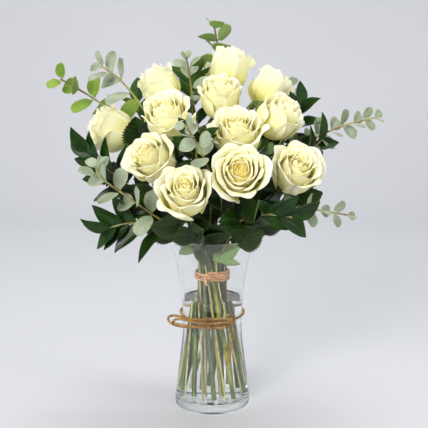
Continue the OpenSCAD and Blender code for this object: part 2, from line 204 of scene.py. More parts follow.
def twine_strands(path, thickness=TWINE, around=7, start_turn=0.0):
    """Points, faces and UVs of three plies along a path, with rounded ends."""
    path = resample(path, thickness * 0.28)
    _, side, up = carried_frames(path)
    run = np.concatenate([[0], np.cumsum(np.linalg.norm(np.diff(path, axis=0), axis=1))])
    points, faces, uvs = [], [], []
    for ply in range(PLIES):
        turn = start_turn + 2 * math.pi * (run / (LAY_LENGTH * thickness) + ply / PLIES)
        out = np.cos(turn)[:, None] * side + np.sin(turn)[:, None] * up
        centre = path + out * thickness * LAY_R
        _, a, b = carried_frames(centre)
        radius = np.full(len(centre), thickness * PLY_R)
        radius[0] = radius[-1] = thickness * 0.08
        radius[1] = radius[-2] = thickness * PLY_R * 0.8
        first = len(points)
        for i, middle in enumerate(centre):
            for k in range(around):
                angle = 2 * math.pi * k / around
                points.append(middle + radius[i] * (math.cos(angle) * a[i] + math.sin(angle) * b[i]))
                uvs.append((k / around, run[i] / thickness))
        faces += grid_faces(len(centre), around, first, closed=True)
        faces.append(tuple(first + k for k in range(around))[::-1])
        faces.append(tuple(first + (len(centre) - 1) * around + k for k in range(around)))
    return points, faces, uvs


def resample(path, step):
    """The same path with evenly spaced points."""
    path = np.asarray(path, float)
    run = np.concatenate([[0], np.cumsum(np.linalg.norm(np.diff(path, axis=0), axis=1))])
    even = np.linspace(0, run[-1], max(8, int(run[-1] / step)))
    return np.column_stack([np.interp(even, run, path[:, k]) for k in range(3)])


def path_length(path):
    return float(np.linalg.norm(np.diff(path, axis=0), axis=1).sum())


def give_uv(piece, uvs):
    """Write one UV pair for each vertex."""
    layer = piece.data.uv_layers.new(name="UVMap")
    corners = np.zeros(len(piece.data.loops), np.int32)
    piece.data.loops.foreach_get("vertex_index", corners)
    layer.data.foreach_set("uv", np.asarray(uvs, np.float32)[corners].ravel())


def outward(piece):
    """Turn every face of a closed piece outwards."""
    work = bmesh.new()
    work.from_mesh(piece.data)
    bmesh.ops.recalc_face_normals(work, faces=work.faces)
    work.to_mesh(piece.data)
    work.free()

# %% [markdown]
# ## The bow's routes
# The bow and its tail are free lengths of twine, so they come first: their real length is fixed
# before anything is built round them. The stiff jute holds its loops a little off the glass, and
# the tail hangs down the glass under its own weight. The points are the ones the design gives.

# %% Routes of the bow and the tail
bow_long = [
    (19, -39, 110.5), (12, -41, 113), (2, -42, 114), (-10, -42, 113.5), (-22, -40.5, 113.5), (-33, -37, 115),
    (-42, -32.5, 115.5), (-48, -28.5, 113.5), (-50, -26.5, 110), (-48, -28, 106.5), (-41, -32, 104),
    (-31, -36.5, 103.5), (-20, -40, 104.5), (-8, -41.5, 106), (4, -41.5, 106.5), (14, -39.5, 106.5), (19, -38, 107),
]
bow_short = [
    (18.5, -42, 109.5), (11, -44.5, 110), (1, -45, 109.5), (-10, -45, 109.5), (-21, -44, 111), (-31, -41, 113),
    (-39, -37, 112.5), (-43.5, -34, 110), (-43, -34.5, 107.5), (-37, -38, 106.5), (-28, -42, 106),
    (-18, -44.5, 105.5), (-7, -45.5, 105), (4, -45.5, 104.5), (13, -43.5, 104.5), (18.5, -41.5, 105.5),
]
twine_tail = [
    (22, -37, 104), (22.5, -36.5, 100), (22.5, -35.5, 95), (22, -34.8, 90), (21.5, -34.4, 85), (21, -34.4, 80),
    (20.5, -34.8, 75), (20, -35.4, 70), (19.5, -36.2, 65), (19, -37, 60),
]

# %% [markdown]
# ## The jute finish
# Jute is a dull golden-brown fibre with paler and darker strands. The colour follows each ply along
# the twine, so the pattern reads the UV map, and a fine bump gives the hairs that lie along it.
# The fine streaks are a shader node group, because the stems and the petals use them too.

# %% A shared group: fine streaks that run one way
def streak_group():
    """Streaks along V. Puts out a mask from 0 to 1 and a height for a bump."""
    tree = bpy.data.node_groups.new("fine_streaks", "ShaderNodeTree")
    for name, kind, value in (("Across", "NodeSocketFloat", 30.0), ("Along", "NodeSocketFloat", 3.0),
                              ("Soft", "NodeSocketFloat", 0.5)):
        socket = tree.interface.new_socket(name, in_out="INPUT", socket_type=kind)
        socket.default_value = value
    tree.interface.new_socket("Vector", in_out="INPUT", socket_type="NodeSocketVector")
    tree.interface.new_socket("Mask", in_out="OUTPUT", socket_type="NodeSocketFloat")
    tree.interface.new_socket("Height", in_out="OUTPUT", socket_type="NodeSocketFloat")
    given = put(tree, "NodeGroupInput")
    scale = put(tree, "ShaderNodeCombineXYZ", {0: given.outputs["Across"], 1: given.outputs["Along"], 2: 1.0})
    stretched = put(tree, "ShaderNodeVectorMath", {0: given.outputs["Vector"], 1: scale.outputs[0]},
                    operation="MULTIPLY")
    fine = put(tree, "ShaderNodeTexNoise", {"Vector": stretched.outputs[0], "Scale": 1.0, "Detail": 4.0,
                                           "Roughness": given.outputs["Soft"]})
    wide = put(tree, "ShaderNodeTexNoise", {"Vector": stretched.outputs[0], "Scale": 0.25, "Detail": 2.0})
    mask = math_node(tree, "MULTIPLY_ADD", fine.outputs[0], 0.6)
    mask.node.inputs[2].default_value = 0.0
    both = math_node(tree, "ADD", mask, math_node(tree, "MULTIPLY", wide.outputs[0], 0.4))
    put(tree, "NodeGroupOutput", {"Mask": both, "Height": fine.outputs[0]})
    return tree


fine_streaks = streak_group()


def new_material(name):
    """A material with an empty tree, its output and one Principled surface."""
    made = bpy.data.materials.new(name)
    made.use_nodes = True
    tree = made.node_tree
    tree.nodes.clear()
    surface = put(tree, "ShaderNodeBsdfPrincipled")
    put(tree, "ShaderNodeOutputMaterial", {"Surface": surface.outputs[0]})
    return made, tree, surface


def uv_of(tree):
    return put(tree, "ShaderNodeTexCoord").outputs["UV"]


def bump(tree, height, strength, distance):
    return put(tree, "ShaderNodeBump", {"Height": height, "Strength": strength, "Distance": distance}).outputs[0]


def use_group(tree, group, **values):
    return put(tree, "ShaderNodeGroup", values, node_tree=group)


# %% Jute
def jute_material(name, pale, middle, dark):
    made, tree, surface = new_material(name)
    streaks = use_group(tree, fine_streaks, Vector=uv_of(tree), Across=9.0, Along=0.8, Soft=0.6)
    colour = ramp(tree, streaks.outputs["Mask"], [(0.4, dark), (0.48, middle), (0.58, pale)])
    tree.links.new(colour, surface.inputs["Base Color"])
    tree.links.new(bump(tree, streaks.outputs["Height"], 0.7, 0.4 * MM), surface.inputs["Normal"])
    surface.inputs["Roughness"].default_value = 0.85
    surface.inputs["Sheen Weight"].default_value = 0.25
    return made


jute = jute_material("jute", srgb(200, 158, 86), srgb(128, 90, 38), srgb(46, 28, 10))
pink_jute = jute_material("tie_jute", srgb(206, 158, 108), srgb(160, 110, 64), srgb(88, 52, 26))

# %% [markdown]
# ## Loose fibres by Geometry Nodes
# Small hairs stand off real jute all along it. Modelling each by hand would be endless, and a hair
# system wouldn't leave the script as a mesh. A Geometry Nodes tree scatters points on the strands
# with a fixed seed and puts one small bent fibre on each.

# %% Fibre tree
templates = []
FIBRE_SIZE = 0.85
FIBRE_DENSITY = 600000.0    # fibres on a square metre of strand
TIE_DENSITY = 700000.0


def template(piece):
    """Keep a shape that only Geometry Nodes uses out of the scene. It is removed at the end."""
    scene.collection.objects.unlink(piece)
    templates.append(piece)
    return piece


def small_fibre():
    """One fine bent hair, about 2.5 mm long before it is scaled, that stands on the origin."""
    points, faces = [], []
    steps, sides = 5, 3
    for i in range(steps):
        s = i / (steps - 1)
        middle = np.array([1.4 * s ** 2, 0.5 * math.sin(2.4 * s), 2.0 * s]) * MM
        radius = 0.075 * MM * (1 - 0.7 * s)
        for k in range(sides):
            angle = 2 * math.pi * k / sides
            points.append(middle + radius * np.array([math.cos(angle), math.sin(angle), 0]))
    faces = grid_faces(steps, sides, closed=True) + [(2, 1, 0), tuple(range((steps - 1) * sides, steps * sides))]
    made = new_mesh("one_fibre", points, faces)
    return template(made)


def geometry_tree(name, sockets):
    """An empty Geometry Nodes tree with a Geometry input, the named inputs and a Geometry output."""
    tree = bpy.data.node_groups.new(name, "GeometryNodeTree")
    tree.interface.new_socket("Geometry", in_out="INPUT", socket_type="NodeSocketGeometry")
    for label, kind, value in sockets:
        socket = tree.interface.new_socket(label, in_out="INPUT", socket_type="NodeSocket" + kind)
        if value is not None:
            socket.default_value = value
    tree.interface.new_socket("Geometry", in_out="OUTPUT", socket_type="NodeSocketGeometry")
    return tree, put(tree, "NodeGroupInput").outputs


def end_tree(tree, geometry, material, smooth=True):
    """Turn instances into real geometry, give it the material and put it out."""
    last = put(tree, "GeometryNodeRealizeInstances", {0: geometry})
    if smooth:
        last = put(tree, "GeometryNodeSetShadeSmooth", {0: last.outputs[0]})
    done = put(tree, "GeometryNodeSetMaterial", {"Geometry": last.outputs[0], "Material": material})
    put(tree, "NodeGroupOutput", {0: done.outputs[0]})
    return tree


def run_tree(piece, tree, **values):
    """Run a tree on a piece with these inputs, and keep the result as its plain mesh."""
    modifier = piece.modifiers.new(tree.name, "NODES")
    modifier.node_group = tree
    for item in tree.interface.items_tree:
        if item.in_out == "INPUT" and item.name.replace(" ", "_") in values:
            modifier[item.identifier] = values[item.name.replace(" ", "_")]
    piece.update_tag()
    ready = piece.evaluated_get(bpy.context.evaluated_depsgraph_get())
    mesh = bpy.data.meshes.new_from_object(ready)
    piece.modifiers.remove(modifier)
    old = piece.data
    piece.data = mesh
    bpy.data.meshes.remove(old)
    mesh.name = piece.name
    return piece


def fibre_tree():
    tree, given = geometry_tree("loose_fibres", [
        ("Fibre", "Object", None), ("Density", "Float", 400000.0), ("Size", "Float", 1.0),
        ("Seed", "Int", 1), ("Material", "Material", None)])
    scatter = put(tree, "GeometryNodeDistributePointsOnFaces",
                  {"Mesh": given["Geometry"], "Density": given["Density"], "Seed": given["Seed"]})
    lean = put(tree, "FunctionNodeRandomValue", {0: (-1.3, -1.3, -3.1), 1: (1.3, 1.3, 3.1), "Seed": given["Seed"]},
               data_type="FLOAT_VECTOR")
    turned = put(tree, "FunctionNodeRotateRotation", {0: scatter.outputs["Rotation"], 1: lean.outputs[0]},
                 rotation_space="LOCAL")
    size = put(tree, "FunctionNodeRandomValue", {2: 0.35, 3: 1.0, "Seed": given["Seed"]}, data_type="FLOAT")
    scaled = put(tree, "ShaderNodeMath", {0: size.outputs[1], 1: given["Size"]}, operation="MULTIPLY")
    fibre = put(tree, "GeometryNodeObjectInfo", {"Object": given["Fibre"]})
    placed = put(tree, "GeometryNodeInstanceOnPoints",
                 {"Points": scatter.outputs["Points"], "Instance": fibre.outputs["Geometry"],
                  "Rotation": turned.outputs[0], "Scale": scaled.outputs[0]})
    both = put(tree, "GeometryNodeJoinGeometry")
    tree.links.new(placed.outputs[0], both.inputs[0])
    tree.links.new(given["Geometry"], both.inputs[0])
    return end_tree(tree, both.outputs[0], given["Material"], smooth=False)


fibre = small_fibre()
loose_fibres = fibre_tree()


def twine_piece(name, paths, material, thickness=TWINE, density=FIBRE_DENSITY, seed=1):
    """A length of twine, or several, as one piece with its loose fibres."""
    points, faces, uvs = [], [], []
    for path in paths:
        more, joined, more_uvs = twine_strands(path, thickness)
        faces += [tuple(i + len(points) for i in face) for face in joined]
        points += more
        uvs += more_uvs
    piece = new_mesh(name, points, faces, material)
    give_uv(piece, uvs)
    outward(piece)
    return run_tree(piece, loose_fibres, Fibre=fibre, Density=density, Seed=seed,
                    Material=material, Size=FIBRE_SIZE)


# %% [markdown]
# ## The bow and its tail
# Each free length is its own piece, and its real length is printed.

# %% Free lengths of twine
free_lengths = (
    ("bow_long_loop", bow_long, "waist_twine_bow", "object", "loose"),
    ("bow_short_loop", bow_short, "waist_twine_bow", "object", "loose"),
    ("bow_tail", twine_tail, "waist_twine_tail", "bare", "hanging"),
)
for number, (name, route, node, far_end, lay) in enumerate(free_lengths):
    path = smooth_path(np.array(route) * MM)
    piece = twine_piece(name, [path], jute, seed=11 + number)
    settle(piece, "jute_twine", node)
    print(name, "length", round(path_length(path) * 1000), "mm", "faces", len(piece.data.polygons))

# %% [markdown]
# ## Reading the imported solids
# The design already knows where every stem and leaf is. Each imported node is split into its separate
# solids, and from their corner points come the middle line of a stem and the base, tip, face and
# size of a leaf. Stems, leaves and roses are placed from these, and only the few leaves in the neck
# and the twine's knots are given here.

# %% Solids, middle lines and leaf places
WELD = 0.02 * MM            # corners nearer than this are one corner
LEAF_CORNERS = (17, 21)     # corner counts that tell a leaf from a stem in the design
STALK_CORNERS = 15


def packed_solids(node):
    """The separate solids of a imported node, each as an array of its corner points."""
    work = bmesh.new()
    work.from_mesh(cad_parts[node].data)
    bmesh.ops.remove_doubles(work, verts=work.verts, dist=WELD)
    seen, solids = set(), []
    for start in work.verts:
        if start in seen:
            continue
        group, queue = [], [start]
        seen.add(start)
        while queue:
            corner = queue.pop()
            group.append(corner.co[:])
            for edge in corner.link_edges:
                other = edge.other_vert(corner)
                if other not in seen:
                    seen.add(other)
                    queue.append(other)
        solids.append(np.array(group))
    work.free()
    return solids


def middle_line(points, ring_gap=2.6 * MM):
    """The middles of a swept solid's rings, in order from the lowest."""
    left, rings = list(range(len(points))), []
    while left:
        ring = [left.pop(0)]
        for i in ring:
            near = [j for j in left if np.linalg.norm(points[i] - points[j]) < ring_gap]
            ring += near
            left = [j for j in left if j not in near]
        rings.append(points[ring].mean(0))
    order = [min(rings, key=lambda p: p[2])]
    rings = [p for p in rings if p is not order[0]]
    while rings:
        nearest = min(range(len(rings)), key=lambda i: np.linalg.norm(rings[i] - order[-1]))
        order.append(rings.pop(nearest))
    return np.array(order)


def leaf_place(points, wood):
    """Base, direction, face, length and width of a packed leaf. wood holds points along its stem."""
    to_wood = np.linalg.norm(points[:, None] - wood[None], axis=2).min(1)
    base = points[np.argsort(to_wood)[:4]].mean(0)
    tip = points[np.linalg.norm(points - base, axis=1).argmax()]
    along = unit(tip - base)
    _, _, axes = np.linalg.svd(points - points.mean(0))
    face = unit(axes[2] - along * axes[2].dot(along))
    across = np.cross(along, face)
    side = (points - base) @ across
    half = np.abs(side).max()
    rise = (points - base) @ face
    edges, middle = np.abs(side) > 0.3 * half, np.abs(side) < 0.1 * half
    if rise[edges].mean() < rise[middle].mean():
        face, across = -face, -across
    return base, along, face, float(np.linalg.norm(tip - base)), float(2 * half)


def sort_solids(node, stalk_count=STALK_CORNERS):
    """The stem's middle line, the stalks' middle lines and the leaves' places of one node."""
    solids = packed_solids(node)
    stem = max(solids, key=lambda p: p[:, 2].max() - p[:, 2].min() if len(p) > 60 else 0)
    line = middle_line(stem)
    stalks = [middle_line(p) for p in solids if len(p) == stalk_count]
    wood = np.vstack([resample(p, 1.0 * MM) for p in [line] + stalks])
    leaves = [leaf_place(p, wood) for p in solids if len(p) in LEAF_CORNERS]
    return line, stalks, leaves


def volume_middle(node):
    """The middle of a closed node's volume."""
    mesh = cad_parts[node].data
    mesh.calc_loop_triangles()
    points = np.array([v.co for v in mesh.vertices])
    a, b, c = (points[[t.vertices[k] for t in mesh.loop_triangles]] for k in range(3))
    share = np.einsum("ij,ij->i", a, np.cross(b, c)) / 6
    return ((a + b + c) / 4 * share[:, None]).sum(0) / share.sum()


def rose_place(k):
    """The seat under a rose's petals, its axis, and the bloom's radius and height."""
    bloom = f"rose_{k:02d}_bloom"
    middle = volume_middle(bloom)
    axis = unit(middle - volume_middle(f"rose_{k:02d}_calyx"))
    points = np.array([v.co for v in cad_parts[bloom].data.vertices])
    along = (points - middle) @ axis
    seat = middle + axis * along.min()
    out = np.linalg.norm((points - seat) - np.outer((points - seat) @ axis, axis), axis=1)
    return seat, axis, float(out.max()), float(along.max() - along.min())


ROSES = range(1, 13)
rose_places = {k: rose_place(k) for k in ROSES}
for k, (seat, axis, radius, height) in rose_places.items():
    print(f"rose {k}: seat {np.round(seat * 1000)} axis {np.round(axis, 2)}",
          f"radius {radius * 1000:.0f} height {height * 1000:.0f}")

# %% [markdown]
# ## Glass and water
# The vase is a thick pressed glass, waisted like an hourglass, on a heavy foot. Its outline is read
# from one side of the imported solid, rounded off by cutting its corners, and turned on a lathe.
# Glass shows every flat facet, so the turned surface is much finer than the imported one. The water is
# its own solid that reaches a hair into the glass, because a gap between them would look like air.

# %% Outline and lathe
def side_outline(node):
    """The corner points of a turned solid on its +X side, in order, as (radius, height)."""
    work = bmesh.new()
    work.from_mesh(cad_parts[node].data)
    bmesh.ops.remove_doubles(work, verts=work.verts, dist=WELD)
    on_side = {v for v in work.verts if abs(v.co.y) < 0.01 * MM and v.co.x > MM}
    here = min(on_side, key=lambda v: v.co.x)
    outline = [here]
    while True:
        ahead = [e.other_vert(here) for e in here.link_edges]
        ahead = [v for v in ahead if v in on_side and v not in outline]
        if not ahead:
            break
        here = min(ahead, key=lambda v: (v.co - here.co).length)
        outline.append(here)
    points = [(v.co.x, v.co.z) for v in outline]
    work.free()
    return np.array([(0, points[0][1])] + points + [(0, points[-1][1])])


def cut_corners(points, times=2):
    """Chaikin's corner cutting, which rounds a polyline and keeps its ends."""
    for _ in range(times):
        a, b = points[:-1], points[1:]
        cut = np.stack([0.75 * a + 0.25 * b, 0.25 * a + 0.75 * b], axis=1).reshape(-1, 2)
        points = np.vstack([points[:1], cut, points[-1:]])
    return points


def lathe(outline, around=160):
    """Points and faces of an outline turned about the Z axis. Its ends lie on the axis."""
    rings = outline[1:-1]
    angles = 2 * np.pi * np.arange(around) / around
    points = [(r * c, r * s, z) for r, z in rings for c, s in zip(np.cos(angles), np.sin(angles))]
    faces = grid_faces(len(rings), around, closed=True)
    low, high = len(points), len(points) + 1
    points += [(0, 0, outline[0][1]), (0, 0, outline[-1][1])]
    last = (len(rings) - 1) * around
    for k in range(around):
        faces.append((low, (k + 1) % around, k))
        faces.append((high, last + k, last + (k + 1) % around))
    return points, faces


glass_outline = side_outline("vase")
print("glass outline", len(glass_outline), "points", np.round(glass_outline[:4] * 1000, 1).tolist())

# %% [markdown]
# Clear glass and water let light through to the stems, so their shadows must be light ones. Cycles
# gives a solid glass a dark shadow, and mixing in a transparent surface for shadow rays alone lets
# the light pass without changing what the eye sees.

# %% Clear materials
def clear_material(name, tint, bends, roughness):
    made = bpy.data.materials.new(name)
    made.use_nodes = True
    tree = made.node_tree
    tree.nodes.clear()
    speckle = put(tree, "ShaderNodeTexNoise", {"Vector": put(tree, "ShaderNodeTexCoord").outputs["Object"],
                                              "Scale": 38.0, "Detail": 2.0})
    surface = put(tree, "ShaderNodeBsdfPrincipled")
    surface.inputs["Base Color"].default_value = tint
    surface.inputs["Transmission Weight"].default_value = 1.0
    surface.inputs["IOR"].default_value = bends
    surface.inputs["Metallic"].default_value = 0.0
    rough = put(tree, "ShaderNodeMapRange", {0: speckle.outputs[0], 3: roughness[0], 4: roughness[1]})
    tree.links.new(rough.outputs[0], surface.inputs["Roughness"])
    tree.links.new(bump(tree, speckle.outputs[0], 0.04, 0.3 * MM), surface.inputs["Normal"])
    through = put(tree, "ShaderNodeBsdfTransparent", {"Color": tint})
    shadow = put(tree, "ShaderNodeLightPath").outputs["Is Shadow Ray"]
    both = put(tree, "ShaderNodeMixShader", {0: shadow, 1: surface.outputs[0], 2: through.outputs[0]})
    put(tree, "ShaderNodeOutputMaterial", {"Surface": both.outputs[0]})
    return made


glass = clear_material("clear_glass", (0.985, 0.995, 0.99, 1), 1.5, (0.0, 0.012))
still_water = clear_material("still_water", (0.985, 0.995, 0.975, 1), 1.33, (0.0, 0.004))

# %% Vase and water
points, faces = lathe(cut_corners(glass_outline))
vase = new_mesh("glass_vase", points, faces, glass)
outward(vase)
settle(vase, "glass", "vase")

water_low, water_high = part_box("water")
lip = glass_outline[:, 1].argmax()
inside = np.array([p for p in glass_outline[lip:] if p[1] < water_high.z])[::-1]
INTO_GLASS = 0.12 * MM
MENISCUS = 1.6 * MM
wall_r = inside[-1][0] + 0.3 * MM
skin = inside.copy()
skin[1:, 0] += INTO_GLASS
skin[:, 1] -= np.where(skin[:, 1] < 0.015, INTO_GLASS, 0)
surface_line = [(wall_r, water_high.z + MENISCUS), (wall_r - 0.7 * MM, water_high.z + 0.6 * MENISCUS),
                (wall_r - 2 * MM, water_high.z + 0.15 * MENISCUS), (wall_r - 4 * MM, water_high.z), (0, water_high.z)]
points, faces = lathe(np.vstack([cut_corners(skin), cut_corners(np.array(surface_line))]))
water = new_mesh("water_in_vase", points, faces, still_water)
outward(water)
settle(water, "water", "water")
print("vase faces", len(vase.data.polygons), "water faces", len(water.data.polygons))

# %% [markdown]
# ## The tie in the neck and the twine round the waist
# Nearly four turns of pinkish twine hold the bunch in the neck, wound as one helix and finished by a small
# knot with frayed ends. One turn goes round the waist of the glass, and its knot carries the bow.

# %% Tied twine
def around_z(radius, start, turns, top, pitch, steps=60):
    angles = start + 2 * np.pi * np.linspace(0, turns, int(steps * turns))
    return np.column_stack([radius * np.cos(angles), radius * np.sin(angles),
                            top - pitch * (angles - start) / (2 * np.pi)])


def knot_path(middle, size, lean=0.0, steps=70):
    """A trefoil, which is what a small overhand knot looks like when it is pulled tight."""
    t = np.linspace(0, 2 * np.pi, steps)
    ring = np.column_stack([np.sin(t) + 2 * np.sin(2 * t), -np.sin(3 * t), np.cos(t) - 2 * np.cos(2 * t)]) / 3
    turn = np.array([[math.cos(lean), 0, math.sin(lean)], [0, 1, 0], [-math.sin(lean), 0, math.cos(lean)]])
    return np.asarray(middle) + size * ring @ turn.T


low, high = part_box("binding_twine")
tie_r = high.x - TWINE / 2
pitch = TWINE + 0.1 * MM
turns = around_z(tie_r, math.radians(-105), 3.75, high.z - TWINE / 2, pitch)
tie_knot = np.array([-7 * MM, low.y + 2.7 * MM, high.z - 6.8 * MM])
frayed = [smooth_path(tie_knot + MM * np.array(p)) for p in (
    [(0, -0.6, -1), (-0.6, -1.2, -3.5), (0.2, -1.2, -6), (-0.4, -0.4, -8.6)],
    [(1, -0.4, 0), (3.4, -1.0, 0.4), (5.6, -0.6, -0.8), (7.4, 0.4, -2.6)])]
tie = twine_piece("binding_twine_turns", [turns, knot_path(tie_knot, 2.0 * MM)] + frayed, pink_jute,
                  density=TIE_DENSITY, seed=21)
settle(tie, "jute_twine", "binding_twine")

low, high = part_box("waist_twine")
waist_r = (high.x - low.x - TWINE) / 2
tilt = math.asin(((high.z - low.z) - TWINE) / 2 / waist_r)
angles = np.linspace(0, 2 * np.pi, 181) - math.radians(60)
waist = np.column_stack([waist_r * np.cos(angles), waist_r * math.cos(tilt) * np.sin(angles),
                         (low.z + high.z) / 2 + waist_r * math.sin(tilt) * np.sin(angles)])
settle(twine_piece("waist_twine_turn", [waist], jute, seed=22), "jute_twine", "waist_twine")

low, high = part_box("waist_twine_knot")
knot = np.array([(low.x + high.x) / 2 + 0.6 * MM, (low.y + high.y) / 2 - 0.4 * MM, low.z + 4.4 * MM])
t = np.linspace(0, 1, 60)
wrap_axis = unit(np.array([0.75, -0.43, 0.5]))
wrap_x = unit(np.cross(wrap_axis, (0, 0, 1)))
wrap_y = np.cross(wrap_axis, wrap_x)
wraps = knot + wrap_axis * ((t - 0.5) * 6.4 * MM)[:, None] + 2.5 * MM * (
    np.cos(6 * np.pi * t)[:, None] * wrap_x + np.sin(6 * np.pi * t)[:, None] * wrap_y)
crossing = smooth_path([knot - wrap_axis * 4.6 * MM, knot, knot + wrap_axis * 4.6 * MM])
loop_t = np.linspace(0, 2 * np.pi, 40)
small_loop = knot + MM * np.column_stack([
    -1 + 2.7 * np.cos(loop_t), -1.5 + 0.9 * np.cos(loop_t), 6.4 + 2.9 * np.sin(loop_t)])
settle(twine_piece("waist_knot", [wraps, crossing, small_loop], jute, seed=23), "jute_twine", "waist_twine_knot")
print("tie radius", round(tie_r * 1000, 1), "waist radius", round(waist_r * 1000, 1))

# %% [markdown]
# ## Rose petals
# A rose opens from its outside. The outermost petals have spread and rolled their rims back, the
# middle ones stand as cups, and the inner ones still wrap round each other in a tight spiral. Each
# petal sits 137.5 degrees round from the last. All of them come from one rule: a side curve that
# runs up the petal, swept round the rose's axis, with a rim that rolls back by an angle. The place
# of the petal in the rose, from 0 outside to 1 in the heart, sets how far it bends, leans and wraps.

# %% One petal
PETAL_ROWS = 20
PETAL_COLUMNS = 19
PETAL_T = 0.45 * MM
ROLL_STEPS = 14


def petal_surface(rng, place, radius, height, turn, openness):
    """The petal's middle surface, as rows by columns of points, with its seat at the origin."""
    outer = 1 - place
    belly = radius * (0.12 + 0.70 * outer ** 1.15) * rng.uniform(0.97, 1.03)
    rim = belly * (1.1 - (1.0 - 0.4 * openness) * place)
    top = height * (0.72 + 0.25 * math.sin(min(place / 0.45, 1) * math.pi / 2) - 0.07 * max(0, place - 0.6) / 0.4)
    top *= rng.uniform(0.97, 1.03)
    corners = np.array([(0.09 * radius * (1 - 0.4 * place), 0), (belly * 1.02, 0.02 * height * place),
                        (belly * 1.1, 0.52 * top), (rim, top)])
    roll = (0.35 + (1.35 + 0.7 * openness) * outer ** 1.3) * rng.uniform(0.8, 1.15)
    roll_share = 0.12 + 0.14 * outer

    s = np.linspace(0, 1, 40)[:, None]
    side = ((1 - s) ** 3 * corners[0] + 3 * s * (1 - s) ** 2 * corners[1]
            + 3 * s ** 2 * (1 - s) * corners[2] + s ** 3 * corners[3])
    run = np.concatenate([[0], np.cumsum(np.linalg.norm(np.diff(side, axis=0), axis=1))])
    heading = math.atan2(*(side[-1] - side[-3]))
    step = run[-1] * roll_share / (1 - roll_share) / ROLL_STEPS

    middle = heading + roll * 0.5 * (np.arange(1, ROLL_STEPS + 1) / ROLL_STEPS) ** 1.3
    lower = top / (top + np.cumsum(step * np.cos(middle)).max())

    u = np.linspace(-1, 1, PETAL_COLUMNS)
    v = np.linspace(0, 1, PETAL_ROWS) ** 0.9
    lean = rng.uniform(-0.25, 0.25)
    half_turn = math.radians(56 + 46 * place) * rng.uniform(0.92, 1.08)
    waves = rng.uniform(0, 2 * math.pi, 4)
    surface = np.zeros((PETAL_ROWS, PETAL_COLUMNS, 3))
    for c, across in enumerate(u):
        shoulder = abs(across - lean * 0.3)
        rolls = roll * (0.36 + 0.95 * min(shoulder, 1) ** 1.5)
        angles = heading + rolls * (np.arange(1, ROLL_STEPS + 1) / ROLL_STEPS) ** 1.3
        curl = side[-1] + np.cumsum(step * np.column_stack([np.sin(angles), np.cos(angles)]), axis=0)
        column = np.vstack([side, curl])
        column_run = np.concatenate([run, run[-1] + step * np.arange(1, ROLL_STEPS + 1)])
        reach = (1 - 0.30 * abs(across) ** 3 - 0.05 * place) * (1 + 0.1 * outer * math.exp(-(across / 0.24) ** 2))
        at = np.minimum(v * reach, 1) * column_run[-1]
        rho = np.interp(at, column_run, column[:, 0])
        z = lower * np.interp(at, column_run, column[:, 1])
        widening = 0.34 + 0.66 * np.sin(np.minimum(v / 0.55, 1) * math.pi / 2) ** 1.2
        widening *= 1 - 0.1 * np.maximum(0, v - 0.6) / 0.4
        angle = across * half_turn * widening
        flat = 1 + 0.35 * outer * (1 / np.cos(np.clip(angle * 0.6, -1, 1)) - 1)
        spiral = 1 + (0.035 + 0.11 * place) * across
        high = v ** 4
        rho = rho * flat * spiral + radius * 0.035 * high * (0.4 + outer) * math.sin(4.2 * across + waves[0])
        rho += radius * 0.16 * outer * np.maximum(0, shoulder - 0.6) * v
        z = z + height * 0.022 * high * math.sin(6.0 * across + waves[1])
        z = z + height * 0.012 * high * math.sin(11 * across + waves[2])
        surface[:, c] = np.column_stack([rho * np.cos(turn + angle), rho * np.sin(turn + angle), z])
    return surface, v


def petal_solid(surface):
    """Front and back of a petal, joined all round, as a thin closed solid."""
    du = np.gradient(surface, axis=1)
    dv = np.gradient(surface, axis=0)
    normal = np.cross(du, dv)
    normal /= np.maximum(np.linalg.norm(normal, axis=2), 1e-12)[..., None]
    rows, columns = surface.shape[:2]
    u = np.linspace(-1, 1, columns)[None]
    v = np.linspace(0, 1, rows)[:, None]
    thick = PETAL_T / 2 * (1.15 - 0.5 * v) * (1 - 0.6 * np.maximum(np.abs(u), v) ** 10)
    offset = normal * thick[..., None]
    points = np.concatenate([(surface + offset).reshape(-1, 3), (surface - offset).reshape(-1, 3)])
    return points, sheet_faces(rows, columns)


# %% [markdown]
# ## A whole rose
# The golden angle keeps any petal from standing right in front of another, as in the real flower.
# Each rose has its own seed, its own number of petals and its own openness, so no two are alike.

# %% One rose
GOLDEN_ANGLE = math.radians(137.5)
# The closed bud that the smallest petals wrap round, as shares of the bloom's radius and height
CORE = np.array([(0, 0.06), (0.3, 0.08), (0.5, 0.3), (0.54, 0.52), (0.44, 0.7), (0.2, 0.8), (0, 0.82)])


def toward(axis):
    """The turn that stands +Z along axis, as a matrix whose columns are its three directions."""
    x = unit(np.cross((0, 1, 0), axis)) if abs(axis[1]) < 0.9 else unit(np.cross((1, 0, 0), axis))
    return np.column_stack([x, np.cross(axis, x), axis])


